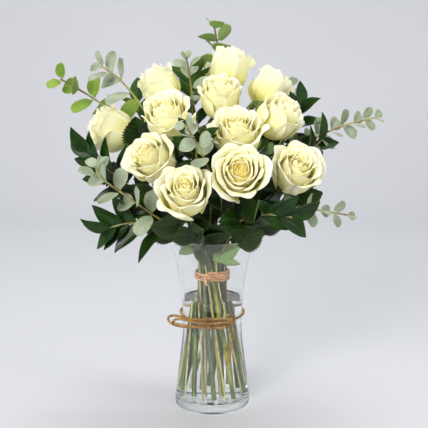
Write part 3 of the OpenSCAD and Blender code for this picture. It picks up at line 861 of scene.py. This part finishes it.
def rose_bloom(k, petals, openness, material):
    seat, axis, radius, height = rose_places[k]
    rng = np.random.default_rng(100 + k)
    turn = rng.uniform(0, 2 * math.pi)
    points, faces, uvs, hearts = [], [], [], []
    for i in range(petals):
        place = i / (petals - 1)
        surface, v = petal_surface(rng, place, radius, height, turn + i * GOLDEN_ANGLE, openness)
        more, joined = petal_solid(surface)
        faces += [tuple(index + len(points) for index in face) for face in joined]
        points += list(more)
        grid_u, grid_v = np.meshgrid(np.linspace(0, 1, PETAL_COLUMNS), v)
        uvs += list(np.column_stack([grid_u.ravel(), grid_v.ravel()])) * 2
        hearts += [place] * len(more)
    core, joined = lathe(cut_corners(CORE * (radius, height)), around=24)
    faces += [tuple(index + len(points) for index in face) for face in joined]
    points += list(core)
    uvs += [(0.5, 0.4)] * len(core)
    hearts += [0.8] * len(core)
    placed = np.array(points) @ toward(axis).T + seat
    piece = new_mesh(f"rose_{k:02d}_petals", placed, faces, material)
    give_uv(piece, uvs)
    attribute = piece.data.attributes.new("heart", "FLOAT", "POINT")
    attribute.data.foreach_set("value", np.array(hearts, np.float32))
    outward(piece)
    return settle(piece, "petals", f"rose_{k:02d}_bloom")


# %% [markdown]
# ## The petal finish
# A cream petal isn't one colour. Its claw is golden, partly its own colour and partly painted shade for the
# dimmer gold deep between the petals, and the rim is nearly white. The warm heart of the rose is painted
# light, for the light that goes through several petals there. Fine veins fan up from the base. The
# petal's own UV map drives the first two, and the "heart" attribute the third.
# A little subsurface light keeps the thin cups from looking like china.

# %% Petal material
def petal_material(name, heart_glow):
    made, tree, surface = new_material(name)
    uv = uv_of(tree)
    along = put(tree, "ShaderNodeSeparateXYZ", {0: uv}).outputs[1]
    heart = put(tree, "ShaderNodeAttribute", attribute_name="heart").outputs["Fac"]
    # Painted shade: the golden claw end of this ramp is partly the petal's own colour and partly stands in for the
    # golden shade deep between the petals.
    body = ramp(tree, along, [(0.0, srgb(246, 230, 112)), (0.3, srgb(251, 242, 146)), (0.62, srgb(253, 247, 182)),
                              (0.92, srgb(254, 251, 214))])
    # Painted light: the heart of the rose is mixed towards warm yellow, standing in for light that passes through
    # several petals.
    glowing_heart = mix_colour(tree, math_node(tree, "MULTIPLY", math_node(tree, "POWER", heart, 1.4), heart_glow),
                      body, srgb(255, 232, 136))
    veins = use_group(tree, fine_streaks, Vector=uv, Across=34.0, Along=1.6, Soft=0.55)
    veined = mix_colour(tree, math_node(tree, "MULTIPLY", veins.outputs["Mask"], 0.12), glowing_heart, srgb(247, 232, 140))
    patches = put(tree, "ShaderNodeTexNoise", {"Vector": put(tree, "ShaderNodeTexCoord").outputs["Object"],
                                              "Scale": 60.0, "Detail": 3.0})
    shade = put(tree, "ShaderNodeMapRange", {0: patches.outputs[0], 1: 0.35, 2: 0.7, 3: 0.0, 4: 0.16})
    colour = mix_colour(tree, shade.outputs[0], veined, srgb(249, 243, 168))
    tree.links.new(colour, surface.inputs["Base Color"])
    roughness = put(tree, "ShaderNodeMapRange", {0: veins.outputs["Mask"], 3: 0.5, 4: 0.68})
    tree.links.new(roughness.outputs[0], surface.inputs["Roughness"])
    tree.links.new(bump(tree, veins.outputs["Height"], 0.22, 0.25 * MM), surface.inputs["Normal"])
    surface.inputs["Subsurface Weight"].default_value = 0.5
    surface.inputs["Subsurface Radius"].default_value = (1.0, 0.9, 0.45)
    surface.inputs["Subsurface Scale"].default_value = 3 * MM
    surface.inputs["Sheen Weight"].default_value = 0.1
    surface.inputs["Specular IOR Level"].default_value = 0.35
    return made


# The number is how much painted light glows in the heart: a little on the cream roses, much more on rose 8.
cream_petal = petal_material("cream_petal", 0.5)
peach_petal = petal_material("peach_petal", 0.95)

# %% Twelve roses
OPENNESS = (0.35, 0.7, 0.45, 0.6, 0.5, 0.75, 0.8, 0.95, 0.9, 0.3, 0.45, 0.75)
PETALS = (27, 30, 27, 30, 27, 31, 31, 33, 33, 26, 27, 31)
for k in ROSES:
    bloom = rose_bloom(k, PETALS[k - 1], OPENNESS[k - 1], peach_petal if k == 8 else cream_petal)
print("petals on each rose", PETALS, "faces on the last", len(bloom.data.polygons))

# %% [markdown]
# ## Stems
# A cut rose stem is round and green with olive and brown patches. It swells where a leaf grew, and
# carries a few hooked thorns above the water, because a florist strips the lower ones. Its foot is
# cut at a slant. A Geometry Nodes tree turns each middle line into a stem: it gives the line its
# thickness, swells it at even steps, and puts thorns on its upper part.

# %% Stem tree
def thorn_shape():
    """A hooked thorn that stands on the origin, along +X, and points a little down."""
    points, faces, sides, steps = [], [], 6, 5
    for i in range(steps):
        s = i / (steps - 1)
        middle = np.array([2.6 * s - 0.4, 0, -1.1 * s ** 2]) * MM
        wide, deep = 1.7 * (1 - s) ** 1.4 + 0.06, 0.7 * (1 - s) + 0.06
        for k in range(sides):
            angle = 2 * math.pi * k / sides
            points.append(middle + MM * np.array([0, deep * math.cos(angle), wide * math.sin(angle)]))
    faces = grid_faces(steps, sides, closed=True)
    faces += [tuple(range(sides))[::-1], tuple(range((steps - 1) * sides, steps * sides))]
    made = new_mesh("one_thorn", points, faces)
    outward(made)
    return template(made)


def stem_tree():
    tree, given = geometry_tree("cut_stem", [
        ("Thickness", "Float", 0.005), ("Swelling", "Float", 0.18), ("Swellings", "Float", 6.0),
        ("Thorn", "Object", None), ("Thorns", "Int", 5), ("Thorn Size", "Float", 1.0),
        ("Seed", "Int", 1), ("Material", "Material", None)])
    curve = put(tree, "GeometryNodeMeshToCurve", {"Mesh": given["Geometry"]})
    even = put(tree, "GeometryNodeResampleCurve", {"Curve": curve.outputs[0], "Length": 2.2 * MM}, mode="LENGTH")
    share = put(tree, "GeometryNodeSplineParameter").outputs["Factor"]
    beat = math_node(tree, "MULTIPLY", share, given["Swellings"])
    near = math_node(tree, "PINGPONG", beat, 0.5)
    peak = math_node(tree, "POWER", math_node(tree, "MULTIPLY", near, 2.0), 24.0)
    wobble = put(tree, "ShaderNodeTexNoise", {"Scale": 60.0, "Detail": 1.0})
    grown = math_node(tree, "ADD", math_node(tree, "MULTIPLY", peak, given["Swelling"]),
                      math_node(tree, "MULTIPLY", wobble.outputs[0], 0.12))
    radius = math_node(tree, "MULTIPLY", math_node(tree, "MULTIPLY", given["Thickness"], 0.5),
                       math_node(tree, "ADD", grown, 0.92))
    ring = put(tree, "GeometryNodeCurvePrimitiveCircle", {"Resolution": 10, "Radius": 1.0})
    tube = put(tree, "GeometryNodeCurveToMesh",
               {"Curve": even.outputs[0], "Profile Curve": ring.outputs[0], "Scale": radius, "Fill Caps": True})
    places = put(tree, "GeometryNodeCurveToPoints", {"Curve": even.outputs[0], "Count": given["Thorns"]}, mode="COUNT")
    index = put(tree, "GeometryNodeInputIndex").outputs[0]
    turn = math_node(tree, "ADD", math_node(tree, "MULTIPLY", index, 2.4), given["Seed"])
    spin = put(tree, "ShaderNodeCombineXYZ", {2: turn})
    turned = put(tree, "FunctionNodeRotateRotation", {0: places.outputs["Rotation"], 1: spin.outputs[0]},
                 rotation_space="LOCAL")
    thorn = put(tree, "GeometryNodeObjectInfo", {"Object": given["Thorn"]})
    low_end = put(tree, "FunctionNodeCompare", {0: math_node(tree, "ADD", index, 0.0), 1: math_node(
        tree, "MULTIPLY", given["Thorns"], 0.45)}, data_type="FLOAT", operation="GREATER_THAN")
    shift = put(tree, "ShaderNodeCombineXYZ", {0: math_node(tree, "MULTIPLY", given["Thickness"], 0.46)})
    thorns = put(tree, "GeometryNodeInstanceOnPoints",
                 {"Points": places.outputs[0], "Instance": thorn.outputs["Geometry"], "Rotation": turned.outputs[0],
                  "Selection": low_end.outputs[0], "Scale": given["Thorn Size"]})
    moved = put(tree, "GeometryNodeTranslateInstances", {0: thorns.outputs[0], "Translation": shift.outputs[0]})
    both = put(tree, "GeometryNodeJoinGeometry")
    tree.links.new(moved.outputs[0], both.inputs[0])
    tree.links.new(tube.outputs[0], both.inputs[0])
    return end_tree(tree, both.outputs[0], given["Material"])


thorn = thorn_shape()
cut_stem = stem_tree()


def stem_piece(name, lines, thickness, material, slot, node, thorns=0, seed=1, swellings=7.0):
    """Stems along these middle lines, as one plain mesh."""
    points, edges = [], []
    for line in lines:
        path = smooth_path(line, 6)
        edges += [(len(points) + i, len(points) + i + 1) for i in range(len(path) - 1)]
        points += [tuple(map(float, p)) for p in path]
    mesh = bpy.data.meshes.new(name)
    mesh.from_pydata(points, edges, [])
    piece = bpy.data.objects.new(name, mesh)
    scene.collection.objects.link(piece)
    run_tree(piece, cut_stem, Thickness=thickness, Swellings=swellings, Thorn=thorn, Thorns=thorns,
             Seed=seed, Material=material)
    outward(piece)
    return settle(piece, slot, node)


# %% [markdown]
# ## The stem finish
# Green stems are never even: long streaks run up them, olive and brown patches mark old wounds and
# the sunny side, and the skin has a soft shine.

# %% Stem materials
def stem_material(name, fresh, olive, brown, brown_share):
    made, tree, surface = new_material(name)
    place = put(tree, "ShaderNodeTexCoord").outputs["Object"]
    streaks = use_group(tree, fine_streaks, Vector=place, Across=900.0, Along=900.0, Soft=0.5)
    long = put(tree, "ShaderNodeMapping", {"Vector": place, "Scale": (1, 1, 0.12)})
    patches = put(tree, "ShaderNodeTexNoise", {"Vector": long.outputs[0], "Scale": 75.0, "Detail": 2.0})
    spots = put(tree, "ShaderNodeTexNoise", {"Vector": place, "Scale": 90.0, "Detail": 4.0, "Roughness": 0.65})
    pale = mix_colour(tree, 0.45, fresh, srgb(170, 158, 50))
    green = ramp(tree, patches.outputs[0], [(0.36, olive), (0.52, fresh), (0.68, fresh)])
    sunny = put(tree, "ShaderNodeMapRange", {0: patches.outputs[0], 1: 0.56, 2: 0.66, 3: 0.0, 4: 1.0})
    green = mix_colour(tree, sunny.outputs[0], green, pale)
    mask = put(tree, "ShaderNodeMapRange",
               {0: spots.outputs[0], 1: 1 - brown_share, 2: 1.1 - brown_share, 3: 0.0, 4: 0.8})
    worn = mix_colour(tree, mask.outputs[0], green, brown)
    tree.links.new(worn, surface.inputs["Base Color"])
    tree.links.new(bump(tree, streaks.outputs["Height"], 0.25, 0.2 * MM), surface.inputs["Normal"])
    surface.inputs["Roughness"].default_value = 0.42
    surface.inputs["Coat Weight"].default_value = 0.15
    return made


rose_green = stem_material("rose_stem_green", srgb(60, 82, 10), srgb(14, 26, 5), srgb(58, 36, 14), 0.46)
dark_stem = stem_material("calyx_green", srgb(122, 146, 72), srgb(86, 110, 48), srgb(100, 88, 46), 0.38)
wood_stem = stem_material("sprig_stem", srgb(146, 146, 86), srgb(112, 106, 58), srgb(120, 84, 56), 0.5)

# %% [markdown]
# ## Leaves
# Three kinds of leaf hang on this bouquet, and the sepals make a fourth. A leaf is a thin blade with
# a fold along its midrib and a droop towards its tip. The width along it is one curve with a power
# at each end: a small power gives a round end, and a large one a drawn-out point. A few variants of
# each kind are built once, and Geometry Nodes put one at every place that the design gives.

# %% Leaf blades
LEAF_COLUMNS = 11
KINDS = {
    # rows, base power, tip power, fold, droop, wave, teeth, share of the length that is stalk
    "eucalyptus": (14, 0.44, 0.40, 0.16, 0.10, 0.012, 0, 0.07),
    "ruscus": (15, 0.62, 0.95, 0.20, 0.13, 0.010, 0, 0.03),
    "rose": (31, 0.55, 0.80, 0.22, 0.14, 0.020, 14, 0.05),
    "sepal": (12, 0.35, 1.25, 0.25, 0.30, 0.030, 0, 0.0),
}


def leaf_blade(kind, variant):
    """A leaf of length 1 along +Y and width 1 along X, with its upper face towards +Z."""
    rows, base_power, tip_power, fold, droop, wave, teeth, stalk = KINDS[kind]
    rng = np.random.default_rng(900 + variant)
    peak = base_power / (base_power + tip_power)
    greatest = peak ** base_power * (1 - peak) ** tip_power
    fold, droop = fold * rng.uniform(0.7, 1.4), droop * rng.uniform(0.5, 1.5)
    curl, twist, phase = rng.uniform(-0.06, 0.06), rng.uniform(-0.12, 0.12), rng.uniform(0, 6)
    s = np.linspace(0, 1, rows)
    u = np.linspace(-1, 1, LEAF_COLUMNS)
    blade_s = np.clip((s - stalk) / (1 - stalk), 0, 1)
    half = 0.5 * blade_s ** base_power * (1 - blade_s) ** tip_power / greatest
    if teeth:
        half *= 1 + 0.075 * np.where(np.arange(rows) % 2 == 1, 1, -1) * (half > 0.06)
    half = np.maximum(half, 0.028 * (1 - 0.6 * s))
    grid = np.zeros((rows, LEAF_COLUMNS, 3))
    for i in range(rows):
        x = u * half[i]
        swing = curl * 4 * s[i] * (1 - s[i])
        z = fold * np.abs(x) - droop * s[i] ** 2 + wave * np.sin(9 * s[i] + phase) * np.abs(u) ** 2
        z += twist * s[i] * x - 0.016 * np.exp(-(u / 0.12) ** 2)
        forward = 0.02 * np.abs(u) ** 3 if teeth and i % 2 else 0.0
        grid[i] = np.column_stack([x + swing, s[i] + forward + 0 * x, z])
    thick = 0.011 * (1 - 0.55 * np.abs(u)[None] ** 4) * np.ones((rows, 1))
    thick[s < stalk + 0.03] = 0.03
    lower = grid - thick[..., None] * np.array([0, 0, 1.0])
    points = np.concatenate([grid.reshape(-1, 3), lower.reshape(-1, 3)])
    made = new_mesh(f"{kind}_leaf_{variant}", points, sheet_faces(rows, LEAF_COLUMNS))
    across, along = np.meshgrid((u + 1) / 2, s)
    upper = np.column_stack([across.ravel(), along.ravel()])
    give_uv(made, np.vstack([upper, upper + (2, 0)]))
    outward(made)
    return template(made)


VARIANTS = 3
leaf_shapes = {kind: [leaf_blade(kind, v + 10 * i) for v in range(VARIANTS)] for i, kind in enumerate(KINDS)}
print("faces of a leaf", {kind: len(made[0].data.polygons) for kind, made in leaf_shapes.items()})


# %% A tree that puts leaves on points
def leaf_tree():
    tree, given = geometry_tree("leaves_on_points", [
        ("Leaf A", "Object", None), ("Leaf B", "Object", None), ("Leaf C", "Object", None),
        ("Seed", "Int", 1), ("Material", "Material", None)])
    shapes = put(tree, "GeometryNodeJoinGeometry")
    for label in ("Leaf C", "Leaf B", "Leaf A"):
        info = put(tree, "GeometryNodeObjectInfo", {"Object": given[label], "As Instance": True})
        tree.links.new(info.outputs["Geometry"], shapes.inputs[0])
    turn = put(tree, "GeometryNodeInputNamedAttribute", {"Name": "turn"}, data_type="FLOAT_VECTOR").outputs[0]
    size = put(tree, "GeometryNodeInputNamedAttribute", {"Name": "size"}, data_type="FLOAT_VECTOR").outputs[0]
    rotation = put(tree, "FunctionNodeEulerToRotation", {0: turn})
    pick = put(tree, "FunctionNodeRandomValue", {4: 0, 5: VARIANTS - 1, "Seed": given["Seed"]}, data_type="INT")
    points = put(tree, "GeometryNodeMeshToPoints", {"Mesh": given["Geometry"]})
    leaves = put(tree, "GeometryNodeInstanceOnPoints",
                 {"Points": points.outputs[0], "Instance": shapes.outputs[0], "Pick Instance": True,
                  "Instance Index": pick.outputs[2], "Rotation": rotation.outputs[0], "Scale": size})
    return end_tree(tree, leaves.outputs[0], given["Material"])


leaves_on_points = leaf_tree()


def to_the_light(place, share, rng):
    """Turn a leaf about its own length, so that its face looks outwards and up, as growing leaves do."""
    base, along, face, length, width = place
    out = np.array([0.25 * np.sign(base[0]), -1.0 if base[1] < 0.04 else 0.8, 0.45])
    out = out - along * out.dot(along)
    face = unit(face + share * unit(out) + rng.uniform(-0.25, 0.25, 3))
    return base, along, unit(face - along * face.dot(along)), length, width


def leaf_piece(name, kind, places, material, slot, node, seed=1, light=0.0, bigger=(1.0, 1.0)):
    """All the leaves of one node, as one plain mesh. bigger is the factor on width and on length."""
    rng = np.random.default_rng(seed)
    places = [to_the_light(place, light, rng) for place in places] if light else places
    mesh = bpy.data.meshes.new(name)
    mesh.from_pydata([tuple(map(float, place[0])) for place in places], [], [])
    turns = mesh.attributes.new("turn", "FLOAT_VECTOR", "POINT")
    sizes = mesh.attributes.new("size", "FLOAT_VECTOR", "POINT")
    for i, (base, along, face, length, width) in enumerate(places):
        across = np.cross(along, face)
        matrix = Matrix([[across[r], along[r], face[r]] for r in range(3)])
        turns.data[i].vector = matrix.to_euler()
        sizes.data[i].vector = (width * bigger[0], length * bigger[1], length)
    piece = bpy.data.objects.new(name, mesh)
    scene.collection.objects.link(piece)
    a, b, c = leaf_shapes[kind]
    run_tree(piece, leaves_on_points, Leaf_A=a, Leaf_B=b, Leaf_C=c, Seed=seed, Material=material)
    return settle(piece, slot, node)


# %% [markdown]
# ## The leaf finishes
# Leaf colour follows the leaf, so it reads the UV map: V runs from base to tip and U across. The
# lower face's U starts at 2, so one map tells the two faces apart. Side veins slant off the midrib
# on rose and eucalyptus leaves, and ruscus shows its midrib alone. One shared group makes them.

# %% A shared group: midrib and side veins
def vein_group():
    tree = bpy.data.node_groups.new("leaf_veins", "ShaderNodeTree")
    for name, value in (("Pairs", 8.0), ("Slant", 0.6), ("Width", 0.16), ("Midrib", 0.03)):
        socket = tree.interface.new_socket(name, in_out="INPUT", socket_type="NodeSocketFloat")
        socket.default_value = value
    tree.interface.new_socket("UV", in_out="INPUT", socket_type="NodeSocketVector")
    for name in ("Veins", "Rim", "Under"):
        tree.interface.new_socket(name, in_out="OUTPUT", socket_type="NodeSocketFloat")
    given = put(tree, "NodeGroupInput")
    parts = put(tree, "ShaderNodeSeparateXYZ", {0: given.outputs["UV"]})
    under = math_node(tree, "GREATER_THAN", parts.outputs[0], 1.5)
    u = math_node(tree, "SUBTRACT", parts.outputs[0], math_node(tree, "MULTIPLY", under, 2.0))
    out = math_node(tree, "MULTIPLY", math_node(tree, "ABSOLUTE", math_node(tree, "SUBTRACT", u, 0.5)), 2.0)
    slanted = math_node(tree, "SUBTRACT", parts.outputs[1], math_node(tree, "MULTIPLY", out, math_node(
        tree, "DIVIDE", given.outputs["Slant"], given.outputs["Pairs"])))
    beat = math_node(tree, "FRACT", math_node(tree, "MULTIPLY", slanted, given.outputs["Pairs"]))
    middle = math_node(tree, "ABSOLUTE", math_node(tree, "SUBTRACT", beat, 0.5))
    side = put(tree, "ShaderNodeMapRange", {0: middle, 1: 0.0, 2: given.outputs["Width"], 3: 1.0, 4: 0.0})
    rib = put(tree, "ShaderNodeMapRange", {0: out, 1: 0.0, 2: given.outputs["Midrib"], 3: 1.0, 4: 0.0})
    both = math_node(tree, "MAXIMUM", math_node(tree, "MULTIPLY", side.outputs[0], 0.55), rib.outputs[0])
    rim = math_node(tree, "POWER", out, 6.0)
    put(tree, "NodeGroupOutput", {"Veins": both, "Rim": rim, "Under": under})
    return tree


leaf_veins = vein_group()


# %% Leaf materials
def leaf_material(name, upper, dark, lower, vein, veins, gloss, rim=None, coat=0.0):
    """upper, dark and lower are the colours of the face, its deeper patches and the underside."""
    made, tree, surface = new_material(name)
    uv = uv_of(tree)
    marks = use_group(tree, leaf_veins, UV=uv, **veins)
    place = put(tree, "ShaderNodeTexCoord").outputs["Object"]
    patches = put(tree, "ShaderNodeTexNoise", {"Vector": place, "Scale": 45.0, "Detail": 4.0, "Roughness": 0.6})
    fine = put(tree, "ShaderNodeTexNoise", {"Vector": place, "Scale": 900.0, "Detail": 2.0})
    face = ramp(tree, patches.outputs[0], [(0.34, dark), (0.66, upper)])
    veined = mix_colour(tree, math_node(tree, "MULTIPLY", marks.outputs["Veins"], 0.45), face, vein)
    back = mix_colour(tree, math_node(tree, "MULTIPLY", marks.outputs["Veins"], 0.3), lower, vein)
    colour = mix_colour(tree, marks.outputs["Under"], veined, back)
    if rim:
        colour = mix_colour(tree, math_node(tree, "MULTIPLY", marks.outputs["Rim"], 0.6), colour, rim)
    tree.links.new(colour, surface.inputs["Base Color"])
    roughness = put(tree, "ShaderNodeMapRange", {0: patches.outputs[0], 3: gloss - 0.06, 4: gloss + 0.08})
    rough = math_node(tree, "ADD", roughness.outputs[0], math_node(tree, "MULTIPLY", marks.outputs["Under"], 0.25))
    tree.links.new(rough, surface.inputs["Roughness"])
    height = math_node(tree, "SUBTRACT", math_node(tree, "MULTIPLY", fine.outputs[0], 0.25), marks.outputs["Veins"])
    tree.links.new(bump(tree, height, 0.35, 0.25 * MM), surface.inputs["Normal"])
    surface.inputs["Specular IOR Level"].default_value = 0.22
    surface.inputs["Coat Weight"].default_value = coat
    surface.inputs["Coat Roughness"].default_value = 0.25
    surface.inputs["Subsurface Weight"].default_value = 0.12
    surface.inputs["Subsurface Radius"].default_value = (0.4, 0.8, 0.2)
    surface.inputs["Subsurface Scale"].default_value = 1.0 * MM
    return made


SLANTED = {"Pairs": 8.0, "Slant": 2.0, "Width": 0.14, "Midrib": 0.05}
rose_leaf = leaf_material("rose_leaf", srgb(34, 62, 14), srgb(13, 30, 9), srgb(112, 140, 78), srgb(84, 112, 44),
                          SLANTED, 0.4, srgb(70, 60, 30), coat=0.06)
ruscus_leaf = leaf_material("ruscus_leaf", srgb(36, 70, 12), srgb(12, 36, 6), srgb(70, 104, 42), srgb(70, 104, 36),
                            {"Pairs": 1.0, "Slant": 0.0, "Width": 0.0001, "Midrib": 0.05}, 0.36, coat=0.08)
grey_leaf = leaf_material("eucalyptus_leaf", srgb(166, 176, 154), srgb(120, 136, 108), srgb(176, 184, 168),
                          srgb(204, 208, 172), SLANTED, 0.55, srgb(170, 160, 120))
bright_leaf = leaf_material("young_eucalyptus_leaf", srgb(132, 160, 60), srgb(92, 126, 40), srgb(140, 164, 96),
                            srgb(180, 190, 110), SLANTED, 0.5, srgb(160, 150, 80))
sepal_green = leaf_material("sepal_green", srgb(110, 138, 66), srgb(72, 104, 44), srgb(136, 158, 96),
                            srgb(150, 168, 100), SLANTED, 0.5)

# %% [markdown]
# ## Rose stems, leaves, hips and sepals
# Under each bloom the stem widens into the hip, and five sepals bend back from it.

# %% The twelve rose stems and calyxes
ROSE_STEM = 5.2 * MM
STALK = 1.5 * MM
THORNS = 14
LEAF_TURN = 1.1             # how strongly rose leaves turn to the light
ROSE_LEAF_SIZE = (1.3, 1.15)
hip_outline = MM * np.array([(0, -12.4), (2.7, -12.4), (3.1, -9.6), (4.9, -7), (5.6, -4), (5.2, -1.4),
                             (6.4, 0.6), (7.4, 2.4), (5, 3.2), (0, 3.2)])
leaf_total = 0
for k in ROSES:
    node = f"rose_{k:02d}_stem"
    line, stalks, leaves = sort_solids(node)
    seat, axis, radius, height = rose_places[k]
    stem_piece(f"rose_{k:02d}_cut_stem", [line], ROSE_STEM, rose_green, "rose_stem", node, thorns=THORNS, seed=k)
    if stalks:
        stem_piece(f"rose_{k:02d}_leaf_stalks", stalks, STALK, rose_green, "rose_stem", node, seed=k, swellings=2.0)
        leaf_piece(f"rose_{k:02d}_leaves", "rose", leaves, rose_leaf, "rose_stem", node, seed=k,
                   light=LEAF_TURN, bigger=ROSE_LEAF_SIZE)
    leaf_total += len(leaves)
    points, faces = lathe(cut_corners(hip_outline), around=20)
    placed = np.array(points) @ toward(axis).T + seat
    hip = new_mesh(f"rose_{k:02d}_hip", placed, faces, dark_stem)
    outward(hip)
    settle(hip, "calyx", f"rose_{k:02d}_calyx")
    pole = seat - axis * np.linspace(0, 12, 25)[:, None] * MM
    calyx = packed_solids(f"rose_{k:02d}_calyx")
    sepals = [leaf_place(p, pole) for p in calyx if len(p) in LEAF_CORNERS]
    if sepals:
        leaf_piece(f"rose_{k:02d}_sepals", "sepal", sepals, sepal_green, "calyx", f"rose_{k:02d}_calyx", seed=k)
print("rose leaflets", leaf_total, "sepals on the last", len(sepals))


# %% [markdown]
# ## Leaves in the neck
# Four leaves have slipped down into the neck, where the glass shows them, most with their pale
# backs outwards. The design has no solids for them, so their places are given here.

# %% Leaves that hang inside the neck
def low_leaf(base, tip, width, outwards):
    """A leaf between two points, with its dark face outwards or its pale back."""
    base, tip = np.array(base) * MM, np.array(tip) * MM
    along = unit(tip - base)
    face = np.array([0.0, -1.0, 0.25]) * outwards
    return base, along, unit(face - along * face.dot(along)), float(np.linalg.norm(tip - base)), width * MM


DARK_FACE, PALE_BACK = 1, -1
LOW_LEAVES = {
    7: [low_leaf((-17, -19, 197), (-36, -14, 183), 16, PALE_BACK),
        low_leaf((-16, -22, 198), (-6, -24, 172), 17, DARK_FACE)],
    8: [low_leaf((0, -23, 177), (30, -20, 193), 19, PALE_BACK),
        low_leaf((4, -24, 181), (30, -19, 172), 10, PALE_BACK)],
}
for k, places in LOW_LEAVES.items():
    leaf_piece(f"rose_{k:02d}_low_leaves", "rose", places, rose_leaf, "rose_stem", f"rose_{k:02d}_stem",
               seed=k + 50)
print("leaves in the neck", sum(map(len, LOW_LEAVES.values())))

# %% [markdown]
# ## Eucalyptus and ruscus
# Round grey eucalyptus leaves stand in pairs, and two of the sprigs are young and bright green.
# Ruscus has dark, glossy, pointed leaves set one by one.

# %% Seventeen sprigs
SPRIG_STEM = 2.8 * MM
YOUNG = (1, 4)
SPRIG_TURN = 1.3            # how strongly the leaves of a sprig turn to the light
LEAF_SIZE = {"eucalyptus": (1.0, 1.05), "ruscus": (1.15, 0.95), "young": (1.5, 1.35), "small": (0.85, 0.85)}
for kind, count, material in (("eucalyptus", 9, grey_leaf), ("ruscus", 8, ruscus_leaf)):
    for k in range(1, count + 1):
        node = f"{kind}_{k}"
        line, _, leaves = sort_solids(node, stalk_count=0)
        young = kind == "eucalyptus" and k in YOUNG
        finish = bright_leaf if young else material
        stem_piece(f"{kind}_{k}_stem", [line], SPRIG_STEM * 0.8, wood_stem, f"{kind}_leaf", node,
                   seed=k, swellings=9.0)
        leaf_piece(f"{kind}_{k}_leaves", kind, leaves, finish, f"{kind}_leaf", node, seed=k, light=SPRIG_TURN,
                   bigger=LEAF_SIZE["young" if young else "small" if node == "eucalyptus_6" else kind])
        print(node, "leaves", len(leaves))

# %% [markdown]
# ## Floor and light
# The bouquet stands on a pale sweep that rises behind it with no edge. The main light is broad and
# soft and comes from the front left, with a weaker fill from the right, a small one overhead and one
# on the backdrop. The sky is bright behind and above and dim in front, so the glass stays clear.

# %% Sweep, sky and lights
def sweep_material():
    made, tree, surface = new_material("pale_sweep")
    cloud = put(tree, "ShaderNodeTexNoise", {"Vector": put(tree, "ShaderNodeTexCoord").outputs["Object"], "Scale": 1.2})
    tree.links.new(ramp(tree, cloud.outputs[0], [(0.3, srgb(198, 199, 203)), (0.7, srgb(203, 204, 207))]),
                   surface.inputs["Base Color"])
    surface.inputs["Roughness"].default_value = 0.7
    return made


SWEEP_R = 0.6
SWEEP_FRONT, SWEEP_BACK, SWEEP_TOP, SWEEP_SIDE = -2.5, 1.2, 3.5, 4
bend = [(SWEEP_BACK + SWEEP_R * math.sin(a), SWEEP_R - SWEEP_R * math.cos(a))
        for a in np.linspace(0, math.pi / 2, 24)]
side = [(SWEEP_FRONT, 0)] + bend + [(SWEEP_BACK + SWEEP_R, SWEEP_TOP)]
points = [(x, y, z) for y, z in side for x in (-SWEEP_SIDE, SWEEP_SIDE)]
sweep = new_mesh("pale_sweep", points, grid_faces(len(side), 2), sweep_material())


def studio_world():
    """A sky that is bright overhead and behind, and dim in front, so that clear glass stays clear."""
    made = bpy.data.worlds.new("soft_sky")
    made.use_nodes = True
    tree = made.node_tree
    tree.nodes.clear()
    way = put(tree, "ShaderNodeSeparateXYZ", {0: put(tree, "ShaderNodeTexCoord").outputs["Generated"]})
    behind = put(tree, "ShaderNodeMapRange", {0: way.outputs[1], 1: -0.45, 2: 0.5, 3: 0.08, 4: 0.85},
                 interpolation_type="SMOOTHSTEP")
    above = put(tree, "ShaderNodeMapRange", {0: way.outputs[2], 1: 0.15, 2: 0.9, 3: 0.0, 4: 0.65})
    strength = math_node(tree, "MAXIMUM", behind.outputs[0], above.outputs[0])
    sky = put(tree, "ShaderNodeBackground", {"Color": (0.95, 0.965, 1.0, 1), "Strength": strength})
    put(tree, "ShaderNodeOutputWorld", {0: sky.outputs[0]})
    return made


scene.world = studio_world()


def soft_light(name, place, size, power, colour=(1, 1, 1), aim=(0, 0, 0.25)):
    light = bpy.data.lights.new(name, "AREA")
    light.size = size
    light.energy = power
    light.color = colour
    made = bpy.data.objects.new(name, light)
    scene.collection.objects.link(made)
    made.location = place
    made.rotation_euler = (Vector(aim) - Vector(place)).to_track_quat("-Z", "Y").to_euler()
    return made


soft_light("key", (-0.8, -1.7, 1.0), 0.9, 39, (1, 0.99, 0.97))
soft_light("fill", (1.4, -0.8, 0.9), 0.8, 10, (1, 0.99, 0.97))
soft_light("top", (0.2, 0.5, 1.8), 0.8, 6)
soft_light("backdrop", (0, 0.3, 2.2), 1.2, 22, (0.95, 0.97, 1), aim=(0, 1.8, 1.0))

# %% [markdown]
# ## The end
# The shapes that only Geometry Nodes used are removed.

# %% Remove the shapes that only Geometry Nodes used
for shape in templates:
    bpy.data.objects.remove(shape)
